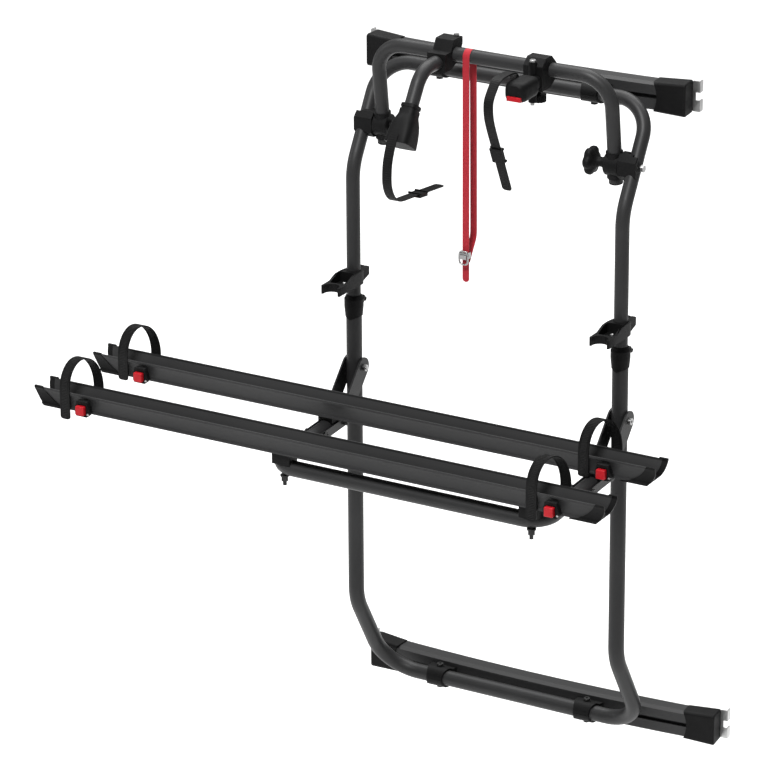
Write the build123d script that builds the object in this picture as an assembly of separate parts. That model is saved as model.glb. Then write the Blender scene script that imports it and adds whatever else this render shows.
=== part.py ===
from build123d import *
import math
import os

# Rear-door bike carrier. Millimetres: X across the vehicle, +Y towards it, +Z up.
# The origin is on the back of the lower crossbar, midway between the two uprights.

# Clearances
gap = 0.3                     # between pieces that only sit next to each other
pin_gap = 0.1                 # round a pin in its hole
far = 400.0                   # further than any small piece reaches, for cuts right through it

# Main frame
bar_spacing = 1316.0          # lower crossbar centre to upper crossbar centre
upright_spacing = 596.2       # between the two upright tubes
bar_standoff = 138.5          # front of the crossbars to the plane of the uprights
run_standoff = 23.0           # front of the crossbars to the axis of the tube runs
lower_tube_d = 32.0
upper_tube_d = 28.0
tube_wall = 1.7
bend_rise = 193.0             # the uprights lean back over this height next to each crossbar
upright_bend_r = 100.0
lower_corner_r = 80.0
upper_corner_r = 70.0
lower_tube_top = 850.0
upper_foot_rise = 43.0        # foot of the upper tube, inside the lower one, above the pivot bolts

# Crossbars
bar_height = 55.0
bar_depth = 36.0
bar_bow_r = 4500.0            # the bars are curved in plan, ends towards the vehicle
bar_wall = 2.6
bar_left = -346.0
lower_bar_right = 434.0
upper_bar_right = 346.0
slot_mouth = 8.6
slot_width = 17.0
slot_depth = 9.5
slot_lip = 2.6
top_chamfer_depth = 9.4
top_chamfer_height = 4.0
bar_edge_r = 5.0

# Crossbar end caps and door hooks
cap_length = 72.0
cap_end_wall = 4.0
cap_inner_height = 60.5
cap_outer_height = 67.0
cap_inner_depth = 41.0
cap_outer_depth = 44.5
cap_edge_r = 7.0
cap_trim_r = 62.0
hook_plate_t = 3.0
hook_plate_height = 46.0
hook_plate_reach = 15.0       # past the end of the cap
hook_plate_inner = 112.0      # from the end of the cap back along the bar
fork_height = 61.0
fork_notch = 16.0
fork_notch_depth = 9.0
fork_lip = 12.0
slot_nut_width = 12.0
hook_screw_d = 6.0
hook_screw_steps = (86.0, 102.0)

# Saddle clamps that hold the tube runs on the crossbars
saddle_inset = 127.1          # inboard of the upright's axis
saddle_rear_width = 60.0
saddle_front_width = 34.0
saddle_t = 4.5
saddle_bolt_d = 8.0
saddle_bolt_offset = 8.0      # behind the tube axis
saddle_split = 0.8
saddle_pad = 2.0              # ring of the pad round a bolt head
saddle_grip = 2.0             # the tongues reach this far behind the lips of the bar's slot

# Bolts and nuts
bolt_head_d = 13.8
bolt_head_h = 5.0
head_edge_r = 1.2
socket_across = 5.2
socket_depth = 3.0
nut_d = 13.0
nut_h = 6.0
thread_end = 2.0              # a bolt shows this much past its nut

# Telescope collars
collar_drop = 44.0            # below the top of the lower tube
collar_rise = 6.0             # and above it
collar_d = 39.0
collar_foot_d = 35.4
collar_foot_height = 8.0
collar_cone_height = 18.0
collar_top_slope = 8.0
collar_top_inset = 4.0
collar_tip_drop = 8.0         # the foot's point hangs lower than its sides
collar_boss_d = 17.0
collar_boss_width = 20.0
collar_boss_drop = 14.0       # below the collar's top
collar_slit = 1.6
collar_slit_depth = 25.0
collar_screw_d = 5.0
collar_screw_offset = 2.0     # behind the sleeve
collar_head_d = 9.0
collar_head_h = 4.0
collar_nut_d = 8.0
collar_nut_h = 3.5

# Catches on the upper tube that hold the platform when it is folded up
catch_rise = 27.0             # underside of the fork above the collar
catch_thick = 17.0
catch_tip_y = 93.0            # in front of the upright
catch_leg_room = 0.4          # between the notch and the folded leg
catch_half_width = 21.5
catch_corner = 5.0
catch_neck_y = 50.0           # the fork narrows behind this, towards the tube
catch_shoulder_y = 60.0       # its top slopes up from here
catch_ridge_y = 36.0
catch_ridge_z = 26.0
catch_rear_y = 44.0
catch_rear_width = 24.0
catch_rear_drop = 6.0
catch_skirt = 19.0            # the band reaches this far below the fork
catch_band = 5.0
catch_slit = 2.0
catch_screw_d = 4.0
catch_screw_length = 12.0
catch_head_h = 2.0
catch_screws_y = (54.0, 38.0)

# Platform that folds up, carried on two arms
pivot_z = 702.0
pivot_y = 3.0                 # behind the upright axis
pivot_bolt_d = 8.0
arm_t = 3.5
arm_half_gap = 16.5           # inside of an arm's cheek from the upright axis
arm_eye_r = 20.5
arm_shank_half = 20.7
arm_slope = 47.5              # degrees below the horizontal
arm_limb_half = 9.0
arm_limb_tip_y = 165.0
arm_front_length = 82.0       # front and rear edges of the shank, from the eye
arm_rear_length = 112.0
arm_knee_y = 76.0             # the limb under the leg starts here
arm_knee_r = 10.0
arm_web_length = 44.0
arm_web_room = 3.0            # between the top of the web and the upright
platform_tube_d = 32.0
platform_front_y = 313.9      # front run in front of the uprights
platform_front_drop = 100.1   # front run below the pivot
platform_leg_rise = 0.041     # legs rise towards the uprights
platform_tube_end_y = 57.0
platform_corner_r = 46.0
arm_bolts_y = (74.0, 150.0)
fold_angle = 91.0             # the folded platform leans this far past its carrying place

# Wheel rails
rail_left = -840.0
rail_right = 441.5
rail_height = 38.0
rail_half_top = 28.0
rail_half_foot = 24.0
rail_wall = 2.6
rail_floor = 7.0
rail_waist = 3.0              # the flanks stand this far inside the foot
rail_foot_height = 3.0
rail_ear_height = 4.0
rail_slot_width = 12.0        # slot in the underside for the studs
rail_slot_depth = 3.0
rail_base_drop = 66.0         # underside of the rails below the pivot
rail_ys = {"front": 313.9, "rear": 102.2}
rail_end_inset = 12.0         # rail end inside its cap, cut to the same slant
rail_cap_skin = 1.9
rail_cap_length = 80.0
rail_cap_top = 17.0
rail_cap_slant = 23.0
spacer_width = 40.0
spacer_depth = 30.0
spacer_grip = 9.0             # the spacers reach down to this far above the tube's axis
stud_d = 8.0
stud_inset = 24.7             # inboard of the upright's axis
stud_tail = 22.0              # below the tube
washer_d = 18.0
washer_t = 3.0

# Wheel straps with their buckles
strap_width = 23.0
strap_t = 2.2
strap_skew = 44.0             # between the strap's two ends along the rail
strap_rise = 65.0             # top of the arch above its springing
strap_spring = 4.0            # the arch springs this far above the ears of the rail
strap_anchor = 6.0            # its fixed end above the rail's underside
strap_facets = 14
strap_tails = {"front": 20.0, "rear": 8.0}      # loose ends below the rail
strap_far_x = {"left": -724.0, "right": 331.5}
buckle_width = 34.0
buckle_height = 34.0
buckle_depth = 11.0
buckle_corner_r = 6.0
buckle_taper = 4.0
buckle_aside = 3.0            # middle of the buckle beside the strap's fixed end
buckle_drop = 4.0             # foot of the buckle below the rail's underside
buckle_boss_height = 12.0
buckle_slot_depth = 12.0
button_width = 23.0
button_height = 22.0
button_travel = 3.0
button_drop = 2.0             # below the middle of its buckle
button_stem = 9.0
button_edge_r = 3.0
button_dish_r = 30.0
button_dish_depth = 2.0
pocket_gap = 0.4              # round a button in its pocket
buckle_screw_d = 6.0

# Bike-holder loop
loop_d = 28.0
loop_wall = 1.7
loop_inset = 42.1             # its legs stand this far inboard of the uprights' axes
loop_pivot_drop = 112.0       # hinge below the upper crossbar
loop_rise = 176.0             # top bar above the pivot
loop_lean = 23.0              # top bar in front of the pivot
loop_corner_r = 62.0
loop_foot = 36.0              # leg below the pivot
plug_depth = 8.0
plug_head = 3.5
plug_edge_r = 1.5

# Hinge of the loop, with its star knobs
hinge_bolt_d = 8.0
leg_clamp_inner = 17.0        # inboard of the leg's axis
leg_clamp_outer = 15.0        # and outboard, where the two halves meet
leg_clamp_height = 46.0
leg_clamp_lip = 4.0           # its sleeve reaches this far past its disc
clamp_chamfer = 1.5
frame_clamp_outer = 12.9      # outboard of the upright's axis
frame_clamp_r = 26.0
frame_clamp_front = 22.0      # in front of the pivot
frame_clamp_lap = 12.0        # its outer part ends this far in front of the pivot
knob_d = 59.0
knob_t = 15.0
knob_standoff = 34.0          # middle of the grip inboard of the leg clamp
knob_lobes = 6
knob_lobe_share = 0.29
knob_web_share = 0.74
knob_hub_share = 0.66
knob_neck_d = 18.0
knob_cone = 20.0              # the neck starts this far outboard of the grip's middle
knob_bolt_reach = 4.0         # and the bolt ends here

# Bike-holding arms on the loop
long_arm_x = -100.0
long_arm_d = 28.0
long_arm_reach = 100.0        # its corner in front of the top bar
long_arm_sink = 9.0           # and below it
long_arm_slope = 57.0         # degrees below the horizontal beyond the corner
long_arm_length = 92.0        # from the corner to the end of the tube
long_arm_socket = 42.0        # front of the clamp's socket
long_arm_start = 20.0         # the tube starts here, in front of the top bar
jaw_start = 70.0              # top of the jaw's sleeve, from the corner
arm_bend_r = 60.0
sleeve_d = 33.0
sleeve_length = 30.0
sleeve_rib = 1.0
sleeve_rib_width = 3.0
sleeve_rib_pitch = 8.0
jaw_height = 66.0
jaw_width = 52.0
jaw_depth = 58.0
jaw_neck_width = 34.0
jaw_neck_depth = 36.0
jaw_edge_r = 8.0
jaw_mouth_r = 17.0            # both jaws are hollowed for the bike's tube
clamp_t = 5.0
clamp_slit = 1.6
clamp_corner_r = 3.0
long_clamp_width = 40.0
socket_wall = 4.0
ear_back = 27.0               # the split ear of the long arm's clamp, behind the top bar
ear_height = 30.0
ear_slit_rise = 6.0
ear_screw_back = 21.0
ear_screw_aside = 10.0
ear_screw_d = 6.0
ear_screw_length = 28.0
ear_head_d = 11.0
ear_head_h = 4.0
short_arm_x = 109.0
short_clamp_width = 41.0
short_clamp_drop = 34.0
short_clamp_rise = 28.0
short_clamp_corner_r = 4.0
short_slit_drop = 3.0
short_jaw_width = 58.0
short_jaw_depth = 60.0
short_jaw_height = 62.0
short_jaw_aside = 8.0         # its middle outboard of the clamp's
short_jaw_u = 98.0            # and in front of the top bar
short_jaw_drop = 6.0
short_jaw_corner_r = 12.0
short_jaw_link_height = 40.0
short_jaw_link_width = 30.0
strap_pocket = 22.0           # square pocket that the short jaw's strap comes out of
strap_pocket_aside = 24.0
strap_pocket_u = 22.0
short_column_u = 39.0
short_column_drop = 17.0
short_column_length = 80.0
short_knob_u = 14.0
short_knob_drop = 62.0
short_button_width = 29.0
short_button_height = 9.0
short_button_depth = 9.0
short_button_drop = 26.0
short_button_edge_r = 1.5
column_d = 12.5
column_bolt_d = 8.0
column_head_h = 4.0
tower_d = 16.0
turn_knob_d = 30.0
turn_knob_t = 14.0
turn_knob_teeth = 14
turn_knob_notch = 2.6
turn_screw_d = 8.2
turn_screw_length = 24.0
holder_strap_width = 20.0
holder_strap_t = 2.4
long_strap_aside = 4.0
long_strap_bulge = 17.5       # the hanging strap comes this far forward of the jaw's mouth
long_strap_drop = 142.8       # hangs this far below it
long_strap_back = 191.5       # and its end swings this far back
long_strap_r = 30.0
short_strap_reach = 68.0
short_strap_drop = 233.0
keeper_lengths = {"long": 30.0, "short": 34.0}
keeper_wall = 2.5
keeper_side = 3.0
keeper_bar = 4.0

# Security strap with its cam buckle
webbing_x = -49.5
webbing_width = 14.5
webbing_t = 1.4
webbing_drop = 405.0          # buckle below the top bar
webbing_tail = 42.0           # loose end below the buckle
webbing_fold_rise = 36.0      # the fixed end turns forward this far above the buckle
webbing_sag = 3.0
cam_width = 22.0
cam_height = 30.0
cam_plate_t = 1.5
cam_cheek = 13.0
cam_pin_d = 3.0
cam_pin_y = 7.0               # pin in front of the webbing
cam_pin_rise = 6.0
cam_thumb_t = 1.8
cam_thumb_height = 22.0

# Places that follow from the sizes above
hook_seat_y = gap + hook_plate_inner ** 2 / (8 * bar_bow_r)
upright_x = upright_spacing / 2
saddle_x = upright_x - saddle_inset
stud_x = upright_x - stud_inset
loop_half_width = upright_x - loop_inset
leg_clamp_inner_x = loop_half_width - leg_clamp_inner
leg_clamp_split_x = loop_half_width + leg_clamp_outer
frame_clamp_outer_x = upright_x + frame_clamp_outer
knob_x = leg_clamp_inner_x - knob_standoff
bar_front_y = -bar_depth
upright_y = bar_front_y - bar_standoff
run_y = bar_front_y - run_standoff
bow_axis = Axis((0, bar_bow_r, 0), (0, 0, 1))
upper_bend_z = bar_spacing - bend_rise
upper_tube_foot = pivot_z + upper_foot_rise
collar_bottom = lower_tube_top - collar_drop
collar_top = lower_tube_top + collar_rise
collar_boss_z = collar_top - collar_boss_drop
catch_base_z = collar_top + catch_rise
pivot = Vector(0, upright_y + pivot_y, pivot_z)
front_run_z = pivot_z - platform_front_drop
rail_base_z = pivot_z - rail_base_drop
rail_top_z = rail_base_z + rail_height
upright_lean = (run_y - upright_y) / bend_rise
loop_pivot_z = bar_spacing - loop_pivot_drop
loop_pivot_y = run_y - upright_lean * loop_pivot_drop
loop_top = Vector(0, loop_pivot_y - loop_lean, loop_pivot_z + loop_rise)
short_jaw_x = short_arm_x + short_jaw_aside
short_strap_x = short_jaw_x - strap_pocket_aside
webbing_reach = loop_d / 2 + gap + webbing_t / 2


def save(name, *solids):
    """Write one node, which holds one or more separate solids."""
    bodies = []
    for shape in solids:
        bodies += shape.solids()
    export_step(bodies[0] if len(bodies) == 1 else Compound(children=bodies), f"parts/{name}.step")


def rod(start, end, diameter):
    """A round bar between two points."""
    axis = Vector(*end) - Vector(*start)
    plane = Plane(origin=start, z_dir=axis)
    return extrude(plane * Circle(diameter / 2), axis.length)


def hexagon(start, direction, across, height):
    """A hexagon nut or bolt head on a point."""
    plane = Plane(origin=start, z_dir=direction)
    return extrude(plane * RegularPolygon(across / 2, 6, major_radius=False), height)


def bent_tube(points, radii, diameter, wall):
    """A round tube along straight runs joined by bends."""
    path = FilletPolyline(*points, radius=radii)
    start = Plane(origin=path @ 0, z_dir=path % 0)
    outer = sweep(start * Circle(diameter / 2), path=path)
    inner = sweep(start * Circle(diameter / 2 - wall), path=path)
    return outer - inner


def mirror_x(shape):
    return mirror(shape, about=Plane.YZ)


def bow_angle(x):
    """The turn about the bow's axis that carries the middle of a crossbar to x."""
    return math.degrees(math.asin(x / bar_bow_r))


def on_bar(shape, x, z=0.0):
    """Carry a piece made at the middle of the lower crossbar to x on a crossbar."""
    return Pos(0, 0, z) * shape.rotate(bow_axis, bow_angle(x))


def bar_front_at(x):
    """Y of a crossbar's front face at x."""
    r = bar_bow_r + bar_depth
    return bar_bow_r - math.sqrt(r * r - x * x)


# Crossbars

def bar_outline(grow=0.0):
    """Outer outline of the crossbar, in the YZ plane, its back at Y = 0."""
    half = bar_height / 2 + grow
    front = -bar_depth - grow
    points = [
        (grow, -half),
        (front, -half),
        (front, bar_height / 2 - top_chamfer_height + grow),
        (top_chamfer_depth - bar_depth, half),
        (grow, half),
    ]
    face = Plane.YZ * make_face(Polyline(*points, close=True))
    low = face.vertices().sort_by(Axis.Z)[:2]
    return fillet(low, bar_edge_r)


def slot_outline(front):
    """One T-slot of the crossbar, open to the front or to the back."""
    mouth = Rectangle(2 * slot_lip, slot_mouth, align=(Align.MIN, Align.CENTER))
    room = Rectangle(slot_depth - slot_lip, slot_width, align=(Align.MIN, Align.CENTER))
    shape = Pos(-slot_lip, 0) * mouth + Pos(slot_lip, 0) * room
    if front:
        return Plane.YZ * (Pos(-bar_depth, 0) * shape)
    return Plane.YZ * mirror(shape, about=Plane.YZ)


def bar_chambers():
    """The hollow chambers of the extrusion."""
    half = bar_height / 2 - bar_wall
    web = slot_width / 2 + bar_wall
    rear = -bar_wall
    front = bar_wall - bar_depth
    top = make_face(Polyline(
        (rear, web), (rear, half), (top_chamfer_depth - bar_depth, half),
        (front, half - top_chamfer_height), (front, web), close=True))
    bottom = Pos((rear + front) / 2, -(web + half) / 2) * Rectangle(rear - front, half - web)
    middle_depth = bar_depth - 2 * (slot_depth + bar_wall)
    middle = Pos(-bar_depth / 2, 0) * Rectangle(middle_depth, slot_width)
    return Plane.YZ * (top + bottom + middle)


def crossbar(right, z):
    section = bar_outline() - slot_outline(True) - slot_outline(False) - bar_chambers()
    section = section.rotate(bow_axis, bow_angle(bar_left))
    turn = bow_angle(right) - bow_angle(bar_left)
    return Pos(0, 0, z) * revolve(section, axis=bow_axis, revolution_arc=turn)


def rounded_end(x, height, depth):
    middle = -bar_depth / 2
    plane = Plane(origin=(x, middle, 0), x_dir=(0, 1, 0), z_dir=(1, 0, 0))
    return plane * RectangleRounded(depth, height, cap_edge_r)


def end_cap(bar_end, z):
    """Moulded cap over the end of a crossbar, open at the back for the door hook."""
    side = 1 if bar_end > 0 else -1
    outer = loft([rounded_end(-cap_length, cap_inner_height, cap_inner_depth),
                  rounded_end(0, cap_outer_height, cap_outer_depth)])
    outer = fillet(outer.faces().sort_by(Axis.X)[-1].edges(), cap_edge_r / 2)
    trim_x = -cap_length - 0.8 * cap_trim_r
    trim = Pos(trim_x, 0, 0) * Rot(90, 0, 0) * Cylinder(cap_trim_r, 3 * cap_outer_depth)
    slot = Pos(-cap_length / 2, cap_outer_depth / 2 - gap, 0) * Box(
        1.1 * cap_length, cap_outer_depth, hook_plate_height + 2 * gap)
    cap = outer - trim - slot
    if side < 0:
        cap = mirror_x(cap)
    tip = bar_end + side * cap_end_wall
    cap = on_bar(cap, tip, z)
    start = bar_end - side * 1.1 * cap_length
    room = bar_outline(gap).rotate(bow_axis, bow_angle(min(start, bar_end + side * gap)))
    turn = abs(bow_angle(start) - bow_angle(bar_end + side * gap))
    return cap - Pos(0, 0, z) * revolve(room, axis=bow_axis, revolution_arc=turn)


def door_hook(bar_end, z):
    """Steel fork on the back of a crossbar's end that grips the edge of the door."""
    side = 1 if bar_end > 0 else -1
    middle = (hook_plate_reach - hook_plate_inner) / 2
    y = hook_seat_y + hook_plate_t / 2
    strip = Pos(middle, y, 0) * Box(hook_plate_reach + hook_plate_inner, hook_plate_t, hook_plate_height)
    fork = Pos(hook_plate_reach / 2 + gap, y, 0) * Box(hook_plate_reach, hook_plate_t, fork_height)
    lip = Pos(hook_plate_reach - hook_plate_t / 2 + gap, y + fork_lip / 2, 0) * Box(
        hook_plate_t, fork_lip + hook_plate_t, fork_height)
    notch = Pos(hook_plate_reach, y + fork_lip / 2, 0) * Box(
        2 * fork_notch_depth, fork_lip + 3 * hook_plate_t, fork_notch)
    plate = strip + fork + lip - notch
    for step in hook_screw_steps:
        plate -= Pos(-step, y, 0) * Rot(90, 0, 0) * Cylinder(hook_screw_d / 2 + gap, 3 * hook_plate_t)
    plate = Pos(hook_plate_inner / 2, 0, 0) * plate
    if side < 0:
        plate = mirror_x(plate)
    return on_bar(plate, bar_end + side * (cap_end_wall - hook_plate_inner / 2), z)


def hook_screws(bar_end, z):
    """Two screws with slot nuts that hold a door hook on the bar."""
    side = 1 if bar_end > 0 else -1
    screws = []
    for step in hook_screw_steps:
        head_y = hook_seat_y + hook_plate_t + gap
        head = hexagon((0, head_y, 0), (0, 1, 0), 1.7 * hook_screw_d, 0.6 * hook_screw_d)
        shank = rod((0, head_y, 0), (0, 2 * gap - slot_depth, 0), hook_screw_d)
        nut_t = slot_depth - slot_lip - 2 * gap
        nut = Pos(0, -slot_lip - gap - nut_t / 2, 0) * Box(slot_nut_width, nut_t, slot_width - 2 * gap)
        screws.append(on_bar(head + shank + nut, bar_end + side * (cap_end_wall - step), z))
    return screws


# Saddle clamps

def saddle_plan(y_front, y_rear):
    points = [(-saddle_front_width / 2, y_front), (saddle_front_width / 2, y_front),
              (saddle_rear_width / 2, y_rear), (-saddle_rear_width / 2, y_rear)]
    return extrude(Plane.XY * make_face(Polyline(*points, close=True)), far, both=True)


def saddle(tube_d, x, z, upper):
    """One half of a saddle clamp: it wraps the tube and hooks into the bar's front slot."""
    up = 1 if upper else -1
    r = tube_d / 2
    bar_y = bar_front_at(abs(x) - saddle_rear_width / 2)
    far_bar_y = bar_front_at(abs(x) + saddle_rear_width / 2)
    tube = Pos(0, run_y, 0) * Rot(0, 90, 0) * Cylinder(r + gap, far)
    shell = Pos(0, run_y, 0) * Rot(0, 90, 0) * Cylinder(r + saddle_t, far)
    depth = bar_y - gap - run_y
    block = Pos(0, run_y + depth / 2, up * r / 2) * Box(far, depth, r)
    bolt_y = run_y + saddle_bolt_offset
    pad = Pos(0, bolt_y, up * (r + saddle_t) / 2) * Cylinder(bolt_head_d / 2 + saddle_pad, r + saddle_t)
    body = (shell + block) & saddle_plan(run_y - r - saddle_t, bar_y - gap)
    body = body + pad - tube
    tongue_z = up * (slot_mouth + saddle_split) / 4
    tongue_h = (slot_mouth - saddle_split) / 2 - gap
    tongue_tip = far_bar_y + slot_lip + saddle_grip
    tongue_root = bar_y - saddle_grip
    tongue = Pos(0, (tongue_root + tongue_tip) / 2, tongue_z) * Box(
        0.6 * saddle_rear_width, tongue_tip - tongue_root, tongue_h)
    body += tongue
    body -= Pos(0, 0, up * (saddle_split - far) / 2) * Box(far, far, far)
    body -= Pos(0, bolt_y, 0) * Cylinder(saddle_bolt_d / 2 + gap, far)
    return Pos(x, 0, z) * body


def saddle_bolt(tube_d, x, z):
    """Bolt down through both halves of a saddle clamp and the tube, with its nut."""
    y = run_y + saddle_bolt_offset
    reach = tube_d / 2 + saddle_t + gap
    head_top = z + reach + bolt_head_h
    head = rod((x, y, z + reach), (x, y, head_top), bolt_head_d)
    head = fillet(head.edges().filter_by(GeomType.CIRCLE).sort_by(Axis.Z)[-1], head_edge_r)
    head -= hexagon((x, y, head_top), (0, 0, -1), socket_across, socket_depth)
    shank = rod((x, y, z + reach), (x, y, z - reach - nut_h - thread_end / 2), saddle_bolt_d)
    nut = hexagon((x, y, z - reach - nut_h), (0, 0, 1), nut_d, nut_h)
    nut -= rod((x, y, z - reach - nut_h - gap), (x, y, z - reach + gap), saddle_bolt_d + 2 * pin_gap)
    return [head + shank, nut]


def saddle_hole(tube_d, z):
    """The bolt holes of both saddle clamps, through a tube run."""
    y = run_y + saddle_bolt_offset
    cut = None
    for x in (-saddle_x, saddle_x):
        hole = rod((x, y, z - tube_d), (x, y, z + tube_d), saddle_bolt_d + 2 * gap)
        cut = hole if cut is None else cut + hole
    return cut


# Frame tubes

def lower_frame_tube():
    x = upright_x
    points = [(-x, upright_y, lower_tube_top), (-x, upright_y, bend_rise), (-x, run_y, 0),
              (x, run_y, 0), (x, upright_y, bend_rise), (x, upright_y, lower_tube_top)]
    radii = [upright_bend_r, lower_corner_r, lower_corner_r, upright_bend_r]
    tube = bent_tube(points, radii, lower_tube_d, tube_wall) - saddle_hole(lower_tube_d, 0)
    for side in (-1, 1):
        ends = [(side * (x + k * lower_tube_d), pivot.Y, pivot_z) for k in (-1, 1)]
        tube -= rod(*ends, pivot_bolt_d + 2 * pin_gap)
    return tube


def upper_frame_tube():
    x = upright_x
    z = bar_spacing
    points = [(-x, upright_y, upper_tube_foot), (-x, upright_y, upper_bend_z), (-x, run_y, z),
              (x, run_y, z), (x, upright_y, upper_bend_z), (x, upright_y, upper_tube_foot)]
    radii = [upright_bend_r, upper_corner_r, upper_corner_r, upright_bend_r]
    tube = bent_tube(points, radii, upper_tube_d, tube_wall) - saddle_hole(upper_tube_d, z)
    for side in (-1, 1):
        ends = [(side * (x + k * upper_tube_d), loop_pivot_y, loop_pivot_z) for k in (-1, 1)]
        tube -= rod(*ends, hinge_bolt_d + 2 * gap)
    return tube


# Telescope collars

def collar(side):
    """Moulded sleeve on top of the lower tube; the upper tube slides through it."""
    low = lower_tube_d / 2 + gap
    high = upper_tube_d / 2 + gap
    foot = collar_foot_d / 2
    top = collar_d / 2
    cone_z = collar_bottom + collar_foot_height
    points = [(low, collar_bottom), (foot, collar_bottom), (foot, cone_z),
              (top, cone_z + collar_cone_height), (top, collar_top - collar_top_slope),
              (top - collar_top_inset, collar_top), (high, collar_top),
              (high, lower_tube_top + gap), (low, lower_tube_top + gap)]
    body = revolve(Plane.XZ * make_face(Polyline(*points, close=True)), axis=Axis.Z)
    slope = math.degrees(math.atan(collar_tip_drop / top))
    for turn in (-1, 1):
        wedge = Pos(0, 0, collar_bottom - far / 2) * Box(far, far, far)
        wedge = wedge.rotate(Axis((0, 0, collar_bottom), (0, 1, 0)), turn * slope)
        half = Pos(-turn * far / 2, 0, collar_bottom) * Box(far, far, far)
        body -= wedge & half
    boss = Pos(0, top, collar_boss_z) * Rot(0, 90, 0) * Cylinder(collar_boss_d / 2, collar_boss_width)
    boss -= Pos(0, 0, collar_boss_z) * Cylinder(low, far)
    body += boss
    screw = Pos(0, top + collar_screw_offset, collar_boss_z) * Rot(0, 90, 0)
    body -= screw * Cylinder(collar_screw_d / 2 + gap, far)
    body -= Pos(0, far / 2, collar_top) * Box(collar_slit, far, 2 * collar_slit_depth)
    return Pos(side * upright_x, upright_y, 0) * body


def collar_screw(side):
    """Screw that draws the slit of a collar together, with its nut."""
    y = upright_y + collar_d / 2 + collar_screw_offset
    x = side * upright_x
    seat = collar_boss_width / 2 + gap
    head = rod((x + seat, y, collar_boss_z), (x + seat + collar_head_h, y, collar_boss_z), collar_head_d)
    head -= hexagon((x + seat + collar_head_h, y, collar_boss_z), (-1, 0, 0),
                    collar_head_d / 2, collar_head_h / 2)
    shank = rod((x + seat, y, collar_boss_z), (x - seat, y, collar_boss_z), collar_screw_d)
    nut = hexagon((x - seat, y, collar_boss_z), (-1, 0, 0), collar_nut_d, collar_nut_h)
    return head + shank + nut


# Platform catches

def folded_leg_y():
    """How far in front of the uprights the folded platform's legs pass the catches."""
    turn = math.radians(fold_angle)
    rise = catch_base_z + catch_thick / 2 - pivot_z
    start = leg_z(-pivot_y) - pivot_z
    along = (rise - start * math.cos(turn)) / (math.sin(turn) - platform_leg_rise * math.cos(turn))
    below = start - platform_leg_rise * along
    return along * math.cos(turn) - below * math.sin(turn) - pivot_y


def catch(side):
    """Forked catch on the upper tube that the folded platform's leg clips into."""
    r = upper_tube_d / 2 + gap
    notch_r = platform_tube_d / 2 + catch_leg_room
    half = catch_half_width
    tip = -catch_tip_y
    fork = make_face(Polyline(
        (-r - catch_band, 0), (-half, -catch_neck_y), (-half, tip + catch_corner),
        (catch_corner - half, tip), (half - catch_corner, tip), (half, tip + catch_corner),
        (half, -catch_neck_y), (r + catch_band, 0), close=True))
    rear = Pos(0, catch_rear_y / 2) * Rectangle(catch_rear_width, catch_rear_y)
    plan = Circle(r + catch_band) + fork + rear
    plan -= Pos(0, -folded_leg_y()) * Circle(notch_r)
    plan -= Pos(0, -folded_leg_y() - far / 2) * Rectangle(2 * notch_r, far)
    body = extrude(Plane.XY * plan, far, both=True)
    behind = 1.1 * catch_rear_y
    side_view = make_face(Polyline(
        (1.1 * tip, 0), (1.1 * tip, catch_thick), (-catch_shoulder_y, catch_thick),
        (-catch_ridge_y, catch_ridge_z), (-upper_tube_d / 2, catch_ridge_z),
        (behind, catch_ridge_z - catch_rear_drop), (behind, -catch_skirt), (-catch_skirt, -catch_skirt),
        (-2.1 * catch_skirt, -0.2 * catch_skirt), (-catch_shoulder_y, 0), close=True))
    body &= extrude(Plane.YZ * side_view, far, both=True)
    body -= Cylinder(r, far)
    body -= Pos(0, catch_rear_y / 2, 0) * Box(catch_slit, catch_rear_y, far)
    for y in catch_screws_y:
        hole = Pos(0, -y, catch_seat(y) + far / 2 - catch_screw_length - gap)
        body -= hole * Cylinder(catch_screw_d / 2 + gap, far)
    return Pos(side * upright_x, upright_y, catch_base_z) * body


def catch_seat(y):
    """Where the head of a catch screw sits, on the top that slopes up to the ridge."""
    share = (catch_shoulder_y - y + catch_screw_d) / (catch_shoulder_y - catch_ridge_y)
    return catch_thick + min(share, 1) * (catch_ridge_z - catch_thick) + gap


def catch_screws(side):
    screws = []
    for y in catch_screws_y:
        x = side * upright_x
        seat = catch_base_z + catch_seat(y)
        head = rod((x, upright_y - y, seat), (x, upright_y - y, seat + catch_head_h), 2 * catch_screw_d)
        shank = rod((x, upright_y - y, seat - catch_screw_length), (x, upright_y - y, seat), catch_screw_d)
        screws.append(head + shank)
    return screws


# Platform

def leg_z(y_front):
    """Height of the platform's legs at a distance in front of the uprights."""
    return front_run_z + platform_leg_rise * (platform_front_y - y_front)


def platform_route():
    """Corner points of the platform's U-shaped tube."""
    x = upright_x
    back = (upright_y - platform_tube_end_y, leg_z(platform_tube_end_y))
    front = (upright_y - platform_front_y, front_run_z)
    return [(-x, *back), (-x, *front), (x, *front), (x, *back)]


def platform_tube():
    x = upright_x
    corners = [platform_corner_r, platform_corner_r]
    tube = bent_tube(platform_route(), corners, platform_tube_d, tube_wall)
    for side in (-1, 1):
        for y in arm_bolts_y:
            ends = [(side * x + k * platform_tube_d, upright_y - y, leg_z(y)) for k in (-1, 1)]
            tube -= rod(*ends, pivot_bolt_d + 2 * gap)
        stud = (side * stud_x, upright_y - platform_front_y)
        tube -= rod((*stud, front_run_z - platform_tube_d), (*stud, front_run_z + platform_tube_d),
                    stud_d + 2 * gap)
    return tube


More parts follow.
